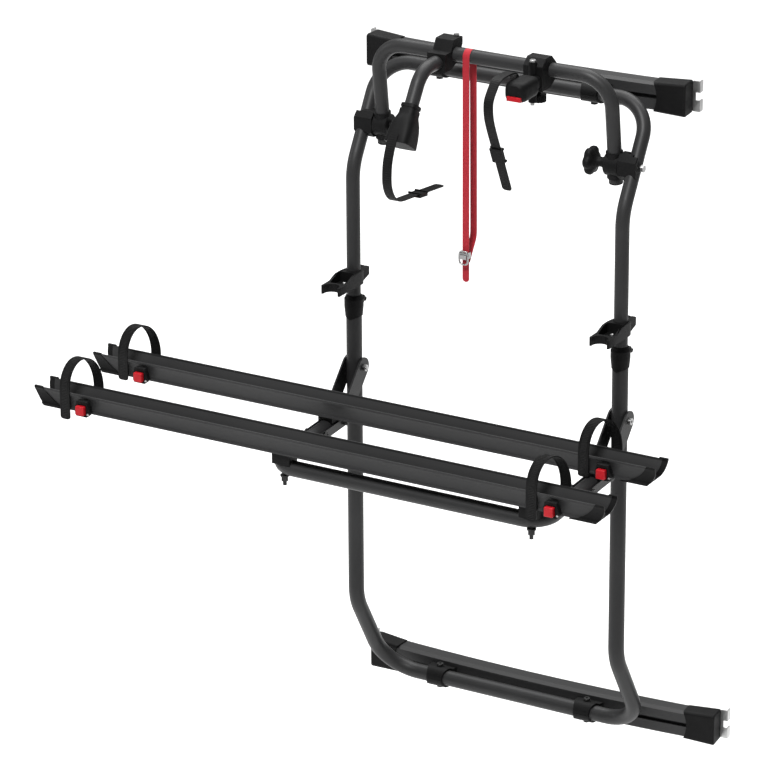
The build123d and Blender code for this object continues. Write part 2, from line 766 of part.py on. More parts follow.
def arm_outline():
    """Side outline of an arm's cheek, in Y and Z from the upright axis and the pivot."""
    slope = math.radians(arm_slope)
    down = Vector(-math.cos(slope), -math.sin(slope))
    front = Vector(-math.sin(slope), math.cos(slope))
    limb_top = leg_z(arm_limb_tip_y) + arm_limb_half - pivot_z
    limb_low = leg_z(arm_limb_tip_y) - arm_limb_half - pivot_z
    knee_top = leg_z(arm_knee_y) + arm_limb_half - pivot_z
    knee_low = leg_z(arm_knee_y) - arm_limb_half - pivot_z
    eye = Vector(pivot_y, 0)
    upper = eye + front * arm_eye_r
    lower = eye - front * arm_shank_half
    points = [upper, upper + down * arm_front_length,
              (arm_knee_r - arm_knee_y, knee_top + arm_knee_r), (-arm_knee_y, knee_top),
              (-arm_limb_tip_y, limb_top), (-arm_limb_tip_y, limb_low), (-arm_knee_y, knee_low),
              lower + down * arm_rear_length, lower]
    return make_face(Polyline(*points, close=True)) + Pos(eye.X, eye.Y) * Circle(arm_eye_r)


def platform_arm(side):
    """Steel arm folded to a channel: two cheeks and the web that rests on the upright."""
    outline = arm_outline()
    cheeks = None
    for k in (-1, 1):
        middle = k * (arm_half_gap + arm_t / 2)
        plane = Plane(origin=(middle, 0, 0), x_dir=(0, 1, 0), z_dir=(1, 0, 0))
        cheek = extrude(plane * outline, arm_t / 2, both=True)
        cheeks = cheek if cheeks is None else cheeks + cheek
    slope = math.radians(arm_slope)
    rear = (pivot_y + math.sin(slope) * arm_shank_half, -math.cos(slope) * arm_shank_half)
    start = (rear[0] + lower_tube_d / 2 + gap) / math.cos(slope) + arm_web_room
    plane = Plane(origin=(0, rear[0] - math.cos(slope) * start, rear[1] - math.sin(slope) * start),
                  x_dir=(1, 0, 0), z_dir=(0, -math.cos(slope), -math.sin(slope)))
    strip = Pos(0, arm_t / 2) * Rectangle(2 * arm_half_gap + arm_t, arm_t)
    arm = cheeks + extrude(plane * strip, arm_web_length)
    out = arm_half_gap + 2 * arm_t
    arm -= rod((-out, pivot_y, 0), (out, pivot_y, 0), pivot_bolt_d + 2 * pin_gap)
    for y in arm_bolts_y:
        z = leg_z(y) - pivot_z
        arm -= rod((-out, -y, z), (out, -y, z), pivot_bolt_d + 2 * gap)
    return Pos(side * upright_x, upright_y, pivot_z) * arm


def cross_bolt(side, centre_x, y, z, half, diameter):
    """A bolt along X through a tube and its two cheeks, head outboard, with a nut."""
    inner = centre_x - side * half
    outer = centre_x + side * half
    end = outer + side * bolt_head_h
    bolt = rod((outer, y, z), (inner - side * (nut_h + thread_end), y, z), diameter)
    head = rod((outer, y, z), (end, y, z), bolt_head_d)
    head -= hexagon((end, y, z), (-side, 0, 0), socket_across, socket_depth)
    nut = hexagon((inner, y, z), (-side, 0, 0), nut_d, nut_h)
    return head + bolt + nut


def pivot_bolt(side):
    half = arm_half_gap + arm_t + gap
    return cross_bolt(side, side * upright_x, pivot.Y, pivot_z, half, pivot_bolt_d)


def arm_bolts(side):
    half = arm_half_gap + arm_t + gap
    return [cross_bolt(side, side * upright_x, upright_y - y, leg_z(y), half, pivot_bolt_d)
            for y in arm_bolts_y]


# Rails

def rail_outline(grow=0.0):
    """Outer outline of the wheel rail about its centre, underside at Z = 0."""
    foot = rail_half_foot + grow
    top = rail_half_top + grow
    waist = foot - rail_waist
    step = 1.5 * rail_foot_height
    h = rail_height + grow
    flank = ThreePointArc((waist, step), (waist + 0.4 * rail_waist, 0.55 * h), (top, h - rail_ear_height))
    edges = [Line((-foot, -grow), (foot, -grow)),
             Polyline((foot, -grow), (foot, rail_foot_height), (waist, step)), flank,
             Line((top, h - rail_ear_height), (top, h)), Line((top, h), (-top, h))]
    left = [mirror(e, about=Plane.YZ) for e in edges[1:4]]
    return make_face(edges + left)


def rail_channel():
    """The open channel for the wheel."""
    top = rail_half_top - rail_wall
    waist = rail_half_foot - rail_waist - rail_wall
    floor_half = waist - rail_waist
    over = rail_height + rail_wall
    ear_z = rail_height - rail_ear_height
    flank = ThreePointArc((floor_half, rail_floor), (waist + 0.4 * rail_waist, 0.55 * rail_height),
                          (top, ear_z))
    edges = [Line((-floor_half, rail_floor), (floor_half, rail_floor)), flank,
             Line((top, ear_z), (top, over)), Line((top, over), (-top, over))]
    left = [mirror(e, about=Plane.YZ) for e in edges[1:3]]
    return make_face(edges + left)


def rail_plane(x, y):
    return Plane(origin=(x, y, rail_base_z), x_dir=(0, 1, 0), z_dir=(1, 0, 0))


def nose():
    """Everything past the slanted nose of a rail's right end, its tip at X = 0."""
    low = rail_base_z - 2 * rail_wall
    mid = rail_base_z + rail_height / 2
    ears = rail_base_z + rail_height
    top = ears + 2 * rail_wall
    outline = make_face([
        ThreePointArc((0, ears), (-0.15 * rail_cap_slant, mid), (-rail_cap_slant, low)),
        Polyline((-rail_cap_slant, low), (rail_wall, low), (rail_wall, top), (0, top), (0, ears))])
    return extrude(Plane.XZ * outline, far, both=True)


def rail(y_front):
    """Extruded wheel rail with the studs' slot in its underside."""
    y = upright_y - y_front
    start = rail_left + rail_end_inset
    end = rail_right - rail_end_inset
    section = rail_outline() - rail_channel() - Rectangle(rail_slot_width, 2 * rail_slot_depth)
    body = extrude(rail_plane(start, y) * section, end - start)
    return body - Pos(end, y, 0) * nose() - Pos(start, y, 0) * mirror_x(nose())


def rail_cap(y_front, side):
    """Scooped end of a rail: a skin outside the rail and a slanted, open nose."""
    tip = rail_right if side > 0 else rail_left
    plane = rail_plane(0, 0)
    body = extrude(plane * (rail_outline(rail_cap_skin) - rail_channel()), -rail_cap_length)
    room = extrude(plane * rail_outline(gap), -1.1 * rail_cap_length) - nose()
    body -= Pos(gap - rail_end_inset, 0, 0) * room
    low = rail_base_z - gap - rail_cap_skin
    top = rail_base_z + rail_height + 2 * rail_wall
    behind = -1.2 * rail_cap_length
    trim = make_face([
        ThreePointArc((-rail_cap_length, low), (-0.5 * rail_cap_length, rail_base_z + 0.34 * rail_height),
                      (-rail_cap_top, top)),
        Polyline((-rail_cap_top, top), (behind, top), (behind, low), (-rail_cap_length, low))])
    body = body - extrude(Plane.XZ * trim, far, both=True) - nose()
    if side < 0:
        body = mirror_x(body)
    return Pos(tip, upright_y - y_front, 0) * body


def spacer(x, y_front, axis_z, width):
    """Moulded block between a rail and the tube below it, hollowed to sit on the tube."""
    top = rail_base_z - gap
    low = axis_z + spacer_grip
    block = Pos(x, upright_y - y_front, (top + low) / 2) * Box(width, spacer_depth, top - low)
    path = FilletPolyline(*platform_route(), radius=[platform_corner_r, platform_corner_r])
    start = Plane(origin=path @ 0, z_dir=path % 0)
    return block - sweep(start * Circle(platform_tube_d / 2 + gap), path=path)


def rail_spacers(side):
    front_y = rail_ys["front"]
    x = side * stud_x
    front = spacer(x, front_y, front_run_z, spacer_width)
    front -= rod((x, upright_y - front_y, front_run_z), (x, upright_y - front_y, rail_top_z), stud_d + 2 * gap)
    rear_y = rail_ys["rear"]
    rear = spacer(side * upright_x, rear_y, leg_z(rear_y), 2 * arm_half_gap - 2 * gap)
    return [front, rear]


def rail_stud(side):
    """Stud that hangs from the rail's slot through the front tube, with its nut below."""
    x = side * stud_x
    y = upright_y - rail_ys["front"]
    low = front_run_z - platform_tube_d / 2
    stud = rod((x, y, low - stud_tail), (x, y, rail_base_z + rail_slot_depth / 2), stud_d)
    seat = low - gap - washer_t
    washer = rod((x, y, low - gap), (x, y, seat), washer_d)
    nut = hexagon((x, y, seat), (0, 0, -1), nut_d, 1.6 * nut_h)
    return stud + washer + nut


# Wheel straps

def wheel_strap(y_front, far_x, tail):
    """Strap that arches over the rail, its loose end hanging in front of it."""
    y = upright_y - y_front
    half_depth = rail_half_top + gap + strap_t / 2
    spring_z = rail_top_z + strap_spring
    path = [(0.0, half_depth, rail_base_z + strap_anchor), (0.0, half_depth, spring_z - 3 * strap_spring)]
    for i in range(strap_facets + 1):
        turn = math.pi * i / strap_facets
        share = (1 - math.cos(turn)) / 2
        path.append((share, half_depth * math.cos(turn), spring_z + strap_rise * math.sin(turn)))
    path.append((1.0, -half_depth, rail_base_z + 1.6 * strap_anchor))
    path.append((1.0, -half_depth, rail_base_z - tail))
    sections = []
    for i, (share, dy, z) in enumerate(path):
        before = path[max(i - 1, 0)]
        after = path[min(i + 1, len(path) - 1)]
        along = Vector(0, after[1] - before[1], after[2] - before[2])
        at = Plane(origin=(far_x - strap_skew * share, y + dy, z), x_dir=(1, 0, 0), z_dir=along)
        sections.append(at * Rectangle(strap_width, strap_t))
    return loft(sections, ruled=True)


def buckle_place(y_front, far_x):
    """Middle of a buckle's back, on the rail's near flank."""
    z = rail_base_z + buckle_height / 2 - buckle_drop
    return Pos(far_x + buckle_aside, upright_y - y_front - rail_half_top - gap, z)


def buckle(y_front, far_x):
    """Moulded ratchet housing on the rail's flank, with the pocket for its button."""
    plane = Plane(origin=(0, 0, 0), x_dir=(1, 0, 0), z_dir=(0, -1, 0))
    front = RectangleRounded(buckle_width - buckle_taper, buckle_height - buckle_taper,
                             buckle_corner_r - buckle_taper / 4)
    base = loft([plane * RectangleRounded(buckle_width, buckle_height, buckle_corner_r),
                 plane.offset(buckle_depth) * front])
    flank = rail_half_top - rail_half_foot + button_drop
    boss = Pos(0, (flank - gap) / 2, -button_drop) * Box(
        buckle_width - 2 * buckle_taper, flank + gap, buckle_boss_height)
    slot = Pos(0, -strap_t, buckle_height / 2) * Box(
        strap_width + 3 * gap, strap_t + 2 * gap, 2 * buckle_slot_depth)
    pocket = Pos(0, -buckle_depth, -button_drop) * Box(
        button_width + 2 * pocket_gap, 4 * button_travel + 2 * button_drop, button_height + 2 * pocket_gap)
    return buckle_place(y_front, far_x) * (base + boss - slot - pocket)


def buckle_button(y_front, far_x):
    """Red release button, pressed towards the rail."""
    depth = button_travel + button_stem
    back = buckle_depth - button_travel - gap
    body = Pos(0, -back - depth / 2, -button_drop) * Box(button_width, depth, button_height)
    body = fillet(body.faces().sort_by(Axis.Y)[0].edges(), button_edge_r)
    dish_y = back + depth + button_dish_r - button_dish_depth
    dish = Pos(0, -dish_y, -button_drop) * Rot(0, 90, 0) * Cylinder(button_dish_r, far)
    return buckle_place(y_front, far_x) * (body - dish)


# Bike-holder loop

def leg_point(x, along):
    """A point on a leg of the loop, a distance up from the hinge."""
    length = math.hypot(loop_lean, loop_rise)
    return (x, loop_pivot_y - loop_lean * along / length, loop_pivot_z + loop_rise * along / length)


def loop_tube():
    x = loop_half_width
    top = math.hypot(loop_lean, loop_rise)
    points = [leg_point(-x, -loop_foot), leg_point(-x, top), leg_point(x, top), leg_point(x, -loop_foot)]
    tube = bent_tube(points, [loop_corner_r, loop_corner_r], loop_d, loop_wall)
    for side in (-1, 1):
        ends = [(side * (x + k * loop_d), loop_pivot_y, loop_pivot_z) for k in (-1, 1)]
        tube -= rod(*ends, hinge_bolt_d + 2 * gap)
    return tube


def loop_plug(side):
    """Push-in plug at the foot of a leg."""
    x = side * loop_half_width
    cap = rod(leg_point(x, -loop_foot - gap), leg_point(x, -loop_foot - plug_head), loop_d)
    cap = fillet(cap.edges().filter_by(GeomType.CIRCLE).sort_by(Axis.Z)[0], plug_edge_r)
    stem = rod(leg_point(x, -loop_foot - plug_head / 2), leg_point(x, -loop_foot + plug_depth),
               loop_d - 2 * loop_wall - 2 * gap)
    return cap + stem


def hinge_hole(x0, x1, diameter):
    return rod((x0, loop_pivot_y, loop_pivot_z), (x1, loop_pivot_y, loop_pivot_z), diameter)


def leg_clamp(side):
    """Moulded half of the hinge that holds a leg of the loop."""
    inner = leg_clamp_inner_x
    outer = leg_clamp_split_x - gap
    x = loop_half_width
    disc = hinge_hole(inner, outer, leg_clamp_height)
    disc = chamfer(disc.edges().filter_by(GeomType.CIRCLE), clamp_chamfer)
    half = leg_clamp_height / 2 + leg_clamp_lip
    sleeve = rod(leg_point(x, -half), leg_point(x, half), 2 * leg_clamp_inner)
    split = Pos(outer + far / 2, loop_pivot_y, loop_pivot_z) * Box(far, far, far)
    body = disc + sleeve - split
    body -= rod(leg_point(x, -2 * half), leg_point(x, 2 * half), loop_d + 2 * gap)
    body -= hinge_hole(inner - loop_d, outer + loop_d, hinge_bolt_d + 2 * pin_gap)
    return body if side > 0 else mirror_x(body)


def frame_clamp(side):
    """Moulded half of the hinge that sits on the front of the upright's leaning tube."""
    inner = leg_clamp_split_x
    plane = Plane(origin=(inner, loop_pivot_y, loop_pivot_z), x_dir=(0, 1, 0), z_dir=(1, 0, 0))
    eight = plane * (Rot(0, 0, 22.5) * RegularPolygon(frame_clamp_r, 8, major_radius=False))
    body = extrude(eight, frame_clamp_outer_x - inner)
    body = chamfer(body.faces().sort_by(Axis.X)[-1].edges(), clamp_chamfer)
    block = Box(far, far, far)
    tube_side = upright_x - upper_tube_d / 2
    body -= Pos(tube_side + far / 2, loop_pivot_y + far / 2, loop_pivot_z) * block
    body -= Pos(upright_x + far / 2, loop_pivot_y - frame_clamp_lap + far / 2, loop_pivot_z) * block
    body -= Pos(upright_x, loop_pivot_y - frame_clamp_front - far / 2, loop_pivot_z) * block
    reach = 2 * frame_clamp_r
    low = (upright_x, loop_pivot_y - reach * upright_lean, loop_pivot_z - reach)
    high = (upright_x, loop_pivot_y + reach * upright_lean, loop_pivot_z + reach)
    body -= rod(low, high, upper_tube_d + 2 * gap)
    body -= hinge_hole(inner - loop_d, frame_clamp_outer_x + loop_d, hinge_bolt_d + 2 * gap)
    return body if side > 0 else mirror_x(body)


def hinge_bolt(side):
    """Bolt through the upright, both hinge halves and the leg, into the star knob."""
    seat = upright_x + upper_tube_d / 2 + gap
    bolt = hinge_hole(knob_x + knob_bolt_reach, seat, hinge_bolt_d)
    body = bolt + hexagon((seat, loop_pivot_y, loop_pivot_z), (1, 0, 0), nut_d, nut_h)
    return body if side > 0 else mirror_x(body)


def star_knob(side):
    """Lobed hand knob with a conical hub and a threaded neck."""
    radius = knob_d / 2
    lobe_r = knob_lobe_share * radius
    outline = Circle(knob_web_share * radius)
    for i in range(knob_lobes):
        turn = 2 * math.pi * (i + 0.5) / knob_lobes
        reach = radius - lobe_r
        outline += Pos(reach * math.cos(turn), reach * math.sin(turn)) * Circle(lobe_r)
    plane = Plane(origin=(knob_x - knob_t / 2, loop_pivot_y, loop_pivot_z), x_dir=(0, 1, 0), z_dir=(1, 0, 0))
    grip = extrude(plane * outline, knob_t)
    grip = chamfer(grip.faces().sort_by(Axis.X)[0].edges(), clamp_chamfer)
    neck_r = knob_neck_d / 2
    hub_r = knob_hub_share * radius
    end = leg_clamp_inner_x - gap
    hub_plane = Plane(origin=(0, loop_pivot_y, loop_pivot_z), x_dir=(1, 0, 0), z_dir=(0, -1, 0))
    hub = hub_plane * make_face(Polyline(
        (knob_x, 0), (knob_x, hub_r), (knob_x + knob_t / 2, hub_r), (knob_x + knob_cone, neck_r),
        (end, neck_r), (end, 0), close=True))
    body = grip + revolve(hub, axis=Axis((0, loop_pivot_y, loop_pivot_z), (1, 0, 0)))
    body -= hinge_hole(knob_x + knob_bolt_reach - gap, end + gap, hinge_bolt_d + 2 * pin_gap)
    return body if side > 0 else mirror_x(body)


# Arms on the loop

def arm_place(u, drop, x=0.0):
    """A point in front of the loop's top bar by u and below it by drop."""
    return (x, loop_top.Y - u, loop_top.Z - drop)


def side_plane(x):
    """The plane across X through the loop's top bar: its axes run forward and down."""
    return Plane(origin=(x, loop_top.Y, loop_top.Z), x_dir=(0, -1, 0), z_dir=(1, 0, 0))


def bar_hole(x, width):
    """Room for the loop's top bar through a clamp."""
    return rod((x - width, loop_top.Y, loop_top.Z), (x + width, loop_top.Y, loop_top.Z), loop_d + 2 * gap)


def plan_strap(x, points, radii, width, thickness):
    """A flat strap that stays in one plane across X."""
    path = FilletPolyline(*points, radius=radii)
    return extrude(side_plane(x) * trace(path, thickness), width / 2, both=True)


def long_arm_clamp():
    """Split clamp that turns on the loop's top bar and holds the bent arm."""
    r = loop_d / 2 + clamp_t
    low = long_arm_sink + long_arm_d / 2 + socket_wall
    high = long_arm_sink - long_arm_d / 2 - socket_wall
    outline = Circle(r) + make_face(Polyline(
        (-r, 0), (-ear_back, -0.5 * ear_height), (-ear_back, -ear_height), (0.3 * ear_back, -ear_height),
        (r, high), (long_arm_socket, high), (long_arm_socket, low), (r, low), (0, r), close=True))
    body = extrude(side_plane(long_arm_x) * outline, long_clamp_width / 2, both=True)
    body = fillet(body.edges().filter_by(Axis.X).sort_by(Axis.Z)[-2:], clamp_corner_r)
    body -= bar_hole(long_arm_x, long_clamp_width)
    body -= rod(arm_place(long_arm_start - 2 * gap, long_arm_sink, long_arm_x),
                arm_place(long_arm_reach, long_arm_sink, long_arm_x), long_arm_d + 2 * gap)
    slit = arm_place(-loop_d / 2 - far / 2, -ear_slit_rise, long_arm_x)
    body -= Pos(*slit) * Box(far, far, clamp_slit)
    screw_x = long_arm_x + ear_screw_aside
    body -= Pos(*arm_place(-ear_screw_back, -ear_height, screw_x)) * Cylinder(
        ear_screw_d / 2 + gap, 2 * (ear_screw_length + gap))
    return body


def long_arm_screw():
    """Screw down through the clamp's split ear."""
    at = Pos(*arm_place(-ear_screw_back, -ear_height - gap, long_arm_x + ear_screw_aside))
    head = Pos(0, 0, ear_head_h / 2) * Cylinder(ear_head_d / 2, ear_head_h)
    return at * (head + Pos(0, 0, -ear_screw_length / 2) * Cylinder(ear_screw_d / 2, ear_screw_length))


def arm_path():
    """The bent arm's corner and its direction beyond the bend."""
    down = math.radians(long_arm_slope)
    return math.cos(down), math.sin(down)


def arm_along(distance, aside=0.0):
    """A point beyond the arm's corner along its lower run, aside towards the front."""
    du, dd = arm_path()
    return (long_arm_reach + du * distance + dd * aside, long_arm_sink + dd * distance - du * aside)


def long_arm_tube():
    start = arm_place(long_arm_start, long_arm_sink, long_arm_x)
    corner = arm_place(long_arm_reach, long_arm_sink, long_arm_x)
    end = arm_place(*arm_along(long_arm_length), long_arm_x)
    return bent_tube([start, corner, end], [arm_bend_r], long_arm_d, tube_wall)


def long_arm_jaw():
    """Bell-shaped jaw with a ribbed sleeve on the end of the arm."""
    du, dd = arm_path()
    top = arm_along(jaw_start)
    plane = Plane(origin=arm_place(*top, long_arm_x), x_dir=(1, 0, 0), z_dir=(0, -du, -dd))
    body = extrude(plane * Circle(sleeve_d / 2), sleeve_length)
    for i in range(3):
        ring = plane.offset(sleeve_rib_width + sleeve_rib_pitch * i)
        body += extrude(ring * Circle(sleeve_d / 2 + sleeve_rib), sleeve_rib_width)
    neck = RectangleRounded(jaw_neck_width, jaw_neck_depth, 1.5 * jaw_edge_r)
    waist = RectangleRounded(jaw_width - jaw_edge_r / 2, jaw_depth - jaw_edge_r, 1.75 * jaw_edge_r)
    mouth_edge = RectangleRounded(jaw_width, jaw_depth, jaw_edge_r)
    mouth_at = sleeve_length + jaw_height - jaw_edge_r
    body += loft([plane.offset(sleeve_length - sleeve_rib_pitch) * neck,
                  plane.offset(sleeve_length + 2 * sleeve_rib_pitch) * waist,
                  plane.offset(mouth_at - 0.75 * jaw_edge_r) * mouth_edge])
    tube_room = long_arm_length - jaw_start + gap
    body -= extrude(plane.offset(-tube_room) * Circle(long_arm_d / 2 + gap), 2 * tube_room)
    mouth = Plane(plane.offset(mouth_at).origin, x_dir=plane.y_dir, z_dir=(1, 0, 0))
    return body - mouth * Cylinder(jaw_mouth_r, far)


def long_strap_route():
    """The long arm's strap, down from behind its jaw and back: forward and drop of its corners."""
    end = jaw_start + sleeve_length + jaw_height
    aside = jaw_depth / 2 + gap + holder_strap_t / 2
    u, drop = arm_along(end - jaw_mouth_r / 2, aside)
    return [arm_along(end - 1.7 * jaw_mouth_r, aside), (u, drop),
            (u + 0.9 * long_strap_bulge, drop + 0.26 * long_strap_drop),
            (u + long_strap_bulge, drop + 0.57 * long_strap_drop),
            (u - 0.83 * long_strap_bulge, drop + 0.86 * long_strap_drop),
            (u - long_strap_back, drop + long_strap_drop)]


def long_arm_strap():
    r = long_strap_r
    radii = [r, r, 1.1 * r, 0.8 * r]
    return plan_strap(long_arm_x - long_strap_aside, long_strap_route(), radii,
                      holder_strap_width, holder_strap_t)


def strap_keeper(x, route, share, length):
    """Buckle on the last run of a holder strap: a frame with a bar at each end."""
    (u0, drop0), (u1, drop1) = route[-2:]
    tilt = math.degrees(math.atan2(drop1 - drop0, u0 - u1))
    box = Box(holder_strap_width + 2 * keeper_side, length, holder_strap_t + 2 * keeper_wall)
    box -= Box(holder_strap_width + 2 * gap, 2 * length, holder_strap_t + 2 * gap)
    for k in (-1, 1):
        at = Pos(0, k * (length - keeper_bar) / 2, holder_strap_t / 2 + 1.2 * keeper_wall)
        box += at * Box(holder_strap_width + 3 * keeper_side, keeper_bar, keeper_side)
    place = arm_place(u0 + share * (u1 - u0), drop0 + share * (drop1 - drop0), x)
    return Pos(*place) * Rot(-tilt, 0, 0) * box


def short_arm_clamp():
    """Clamp band over the loop's top bar, with the column that carries the short jaw."""
    r = loop_d / 2 + clamp_t
    u = short_column_u
    drop = short_clamp_drop
    rise = short_clamp_rise
    outline = Circle(r) + make_face(Polyline(
        (-r, 0), (-r, 0.6 * drop), (0.15 * u, drop), (u, drop), (u, -rise / 2), (0.6 * u, -rise),
        (0, -rise), (-r, -0.36 * rise), close=True))
    body = extrude(side_plane(short_arm_x) * outline, short_clamp_width / 2, both=True)
    body = fillet(body.edges().filter_by(Axis.X).sort_by(Axis.Z)[-3:], short_clamp_corner_r)
    body -= bar_hole(short_arm_x, short_clamp_width)
    column = Pos(*arm_place(u, short_column_drop, short_arm_x))
    body += column * Cylinder(tower_d / 2, short_column_length)
    body -= column * Cylinder(column_bolt_d / 2 + gap, far)
    screw_hole = turn_screw_d / 2 + gap
    body -= Pos(*arm_place(short_knob_u, drop, short_arm_x)) * Cylinder(screw_hole, drop - r / 2)
    slit = arm_place(-loop_d / 4 - far / 2, short_slit_drop, short_arm_x)
    return body - Pos(*slit) * Box(far, far, clamp_slit)


def column_bolt():
    """Bolt through the column, its bright head on top."""
    top = arm_place(short_column_u, short_column_drop - short_column_length / 2 - gap, short_arm_x)
    low = arm_place(short_column_u, short_column_drop + short_column_length / 2 + nut_h, short_arm_x)
    head = Pos(*top) * Pos(0, 0, column_head_h / 2) * Cylinder(column_d / 2, column_head_h)
    head = fillet(head.edges().filter_by(GeomType.CIRCLE).sort_by(Axis.Z)[-1], head_edge_r)
    return head + rod(top, low, column_bolt_d)


def tension_knob():
    """Toothed hand wheel under the band, on the screw that tightens it."""
    outline = Circle(turn_knob_d / 2)
    for i in range(turn_knob_teeth):
        turn = 360 / turn_knob_teeth * i
        outline -= Rot(0, 0, turn) * Pos(turn_knob_d / 2 + 0.4 * turn_knob_notch, 0) * Circle(turn_knob_notch)
    wheel = extrude(outline, turn_knob_t)
    stem = Pos(0, 0, turn_knob_t + turn_screw_length / 2) * Cylinder(turn_screw_d / 2, turn_screw_length)
    return Pos(*arm_place(short_knob_u, short_knob_drop, short_arm_x)) * (wheel + stem)


def short_arm_jaw():
    """Short jaw in front of the column, rounded at the front, with its strap pocket."""
    body = Pos(*arm_place(short_jaw_u, short_jaw_drop, short_jaw_x)) * Box(
        short_jaw_width, short_jaw_depth, short_jaw_height)
    body = fillet(body.edges().filter_by(Axis.Z).sort_by(Axis.Y)[:2], short_jaw_corner_r)
    body = fillet(body.faces().sort_by(Axis.Y)[0].edges().filter_by(Axis.X), jaw_edge_r)
    mouth_drop = short_jaw_drop + short_jaw_height / 2 + 0.6 * jaw_mouth_r
    mouth = Pos(*arm_place(short_jaw_u, mouth_drop, short_jaw_x))
    body -= mouth * Rot(0, 90, 0) * Cylinder(jaw_mouth_r, far)
    pocket = Pos(*arm_place(short_jaw_u + strap_pocket_u, short_jaw_drop - short_jaw_height / 2, short_strap_x))
    body -= pocket * Box(holder_strap_width + 2 * keeper_side, strap_pocket, strap_pocket)
    button = Pos(*arm_place(short_jaw_u + short_jaw_depth / 2, short_button_drop, short_jaw_x))
    body -= button * Box(short_button_width + 2 * pocket_gap, 2 * (short_button_depth + gap),
                         short_button_height + 2 * pocket_gap)
    link_end = short_jaw_u - short_jaw_depth / 2 + gap
    link_u = (short_column_u + link_end) / 2
    body += Pos(*arm_place(link_u, short_jaw_drop, short_arm_x)) * Box(
        short_jaw_link_width, link_end - short_column_u, short_jaw_link_height)
    return body - Pos(*arm_place(short_column_u, short_column_drop, short_arm_x)) * Cylinder(
        tower_d / 2 + gap, far)


def short_arm_button():
    """Red release lever low on the front of the short jaw, pressed inwards."""
    front = short_jaw_u + short_jaw_depth / 2
    body = Box(short_button_width, short_button_depth, short_button_height)
    body = fillet(body.edges().filter_by(Axis.X), short_button_edge_r)
    return Pos(*arm_place(front - 0.1 * short_button_depth, short_button_drop, short_jaw_x)) * body


def short_strap_route():
    """The short arm's strap, out of its pocket, over and down: forward and drop of its corners."""
    u = short_jaw_u + strap_pocket_u
    drop = short_jaw_drop - (short_jaw_height - strap_pocket + holder_strap_t) / 2 - gap
    reach = short_strap_reach
    return [(u, drop), (u + 0.47 * reach, drop - 0.06 * reach), (u + reach, drop + 0.5 * reach),
            (u + 0.91 * reach, drop + short_strap_drop / 3), (u - 0.16 * reach, drop + short_strap_drop)]


def short_arm_strap():
    r = short_strap_reach
    radii = [0.35 * r, 0.59 * r, 0.88 * r]
    return plan_strap(short_strap_x, short_strap_route(), radii, holder_strap_width, holder_strap_t)


# Security strap

def security_strap():
    """Webbing that hangs over the loop's top bar and ends in its cam buckle."""
    reach = webbing_reach
    points = [(reach, webbing_drop + webbing_tail), (reach, -reach), (-reach, -reach),
              (-reach - webbing_sag, webbing_drop - webbing_fold_rise),
              (reach - webbing_t - webbing_sag, webbing_drop + 0.3 * webbing_tail)]
    radii = [reach - pin_gap, reach - pin_gap, 0.6 * webbing_fold_rise]
    return plan_strap(webbing_x, points, radii, webbing_width, webbing_t)


def cam_pin_at():
    """Y and Z of the cam buckle's pin."""
    return (loop_top.Y - webbing_reach - cam_pin_y, loop_top.Z - webbing_drop + cam_pin_rise)


def cam_frame():
    """Pressed steel frame of the cam buckle, with the pin for its lever."""
    z = loop_top.Z - webbing_drop
    back = loop_top.Y - webbing_reach + webbing_t / 2 + gap
    body = Pos(webbing_x, back + cam_plate_t / 2, z) * Box(cam_width, cam_plate_t, cam_height)
    for k in (-1, 1):
        x = webbing_x + k * (cam_width - cam_plate_t) / 2
        body += Pos(x, back + cam_plate_t - cam_cheek / 2, z) * Box(cam_plate_t, cam_cheek, 0.8 * cam_height)
    pin_half = cam_width / 2 + cam_plate_t / 2
    return body + rod((webbing_x - pin_half, *cam_pin_at()), (webbing_x + pin_half, *cam_pin_at()), cam_pin_d)


def cam_lever():
    """Lever of the cam buckle: a ribbed cam on the pin and a thumb plate."""
    y, z = cam_pin_at()
    width = cam_width - 2 * cam_plate_t - 2 * gap
    cam_r = cam_pin_y - webbing_t / 2 - 2 * gap
    cam = rod((webbing_x - width / 2, y, z), (webbing_x + width / 2, y, z), 2 * cam_r)
    plate = Pos(webbing_x, y - cam_r + 0.6 * cam_thumb_t, z - cam_thumb_height / 2) * Box(
        width, cam_thumb_t, cam_thumb_height)
    pin = rod((webbing_x - cam_width, y, z), (webbing_x + cam_width, y, z), cam_pin_d + 2 * pin_gap)
    return cam + plate - pin


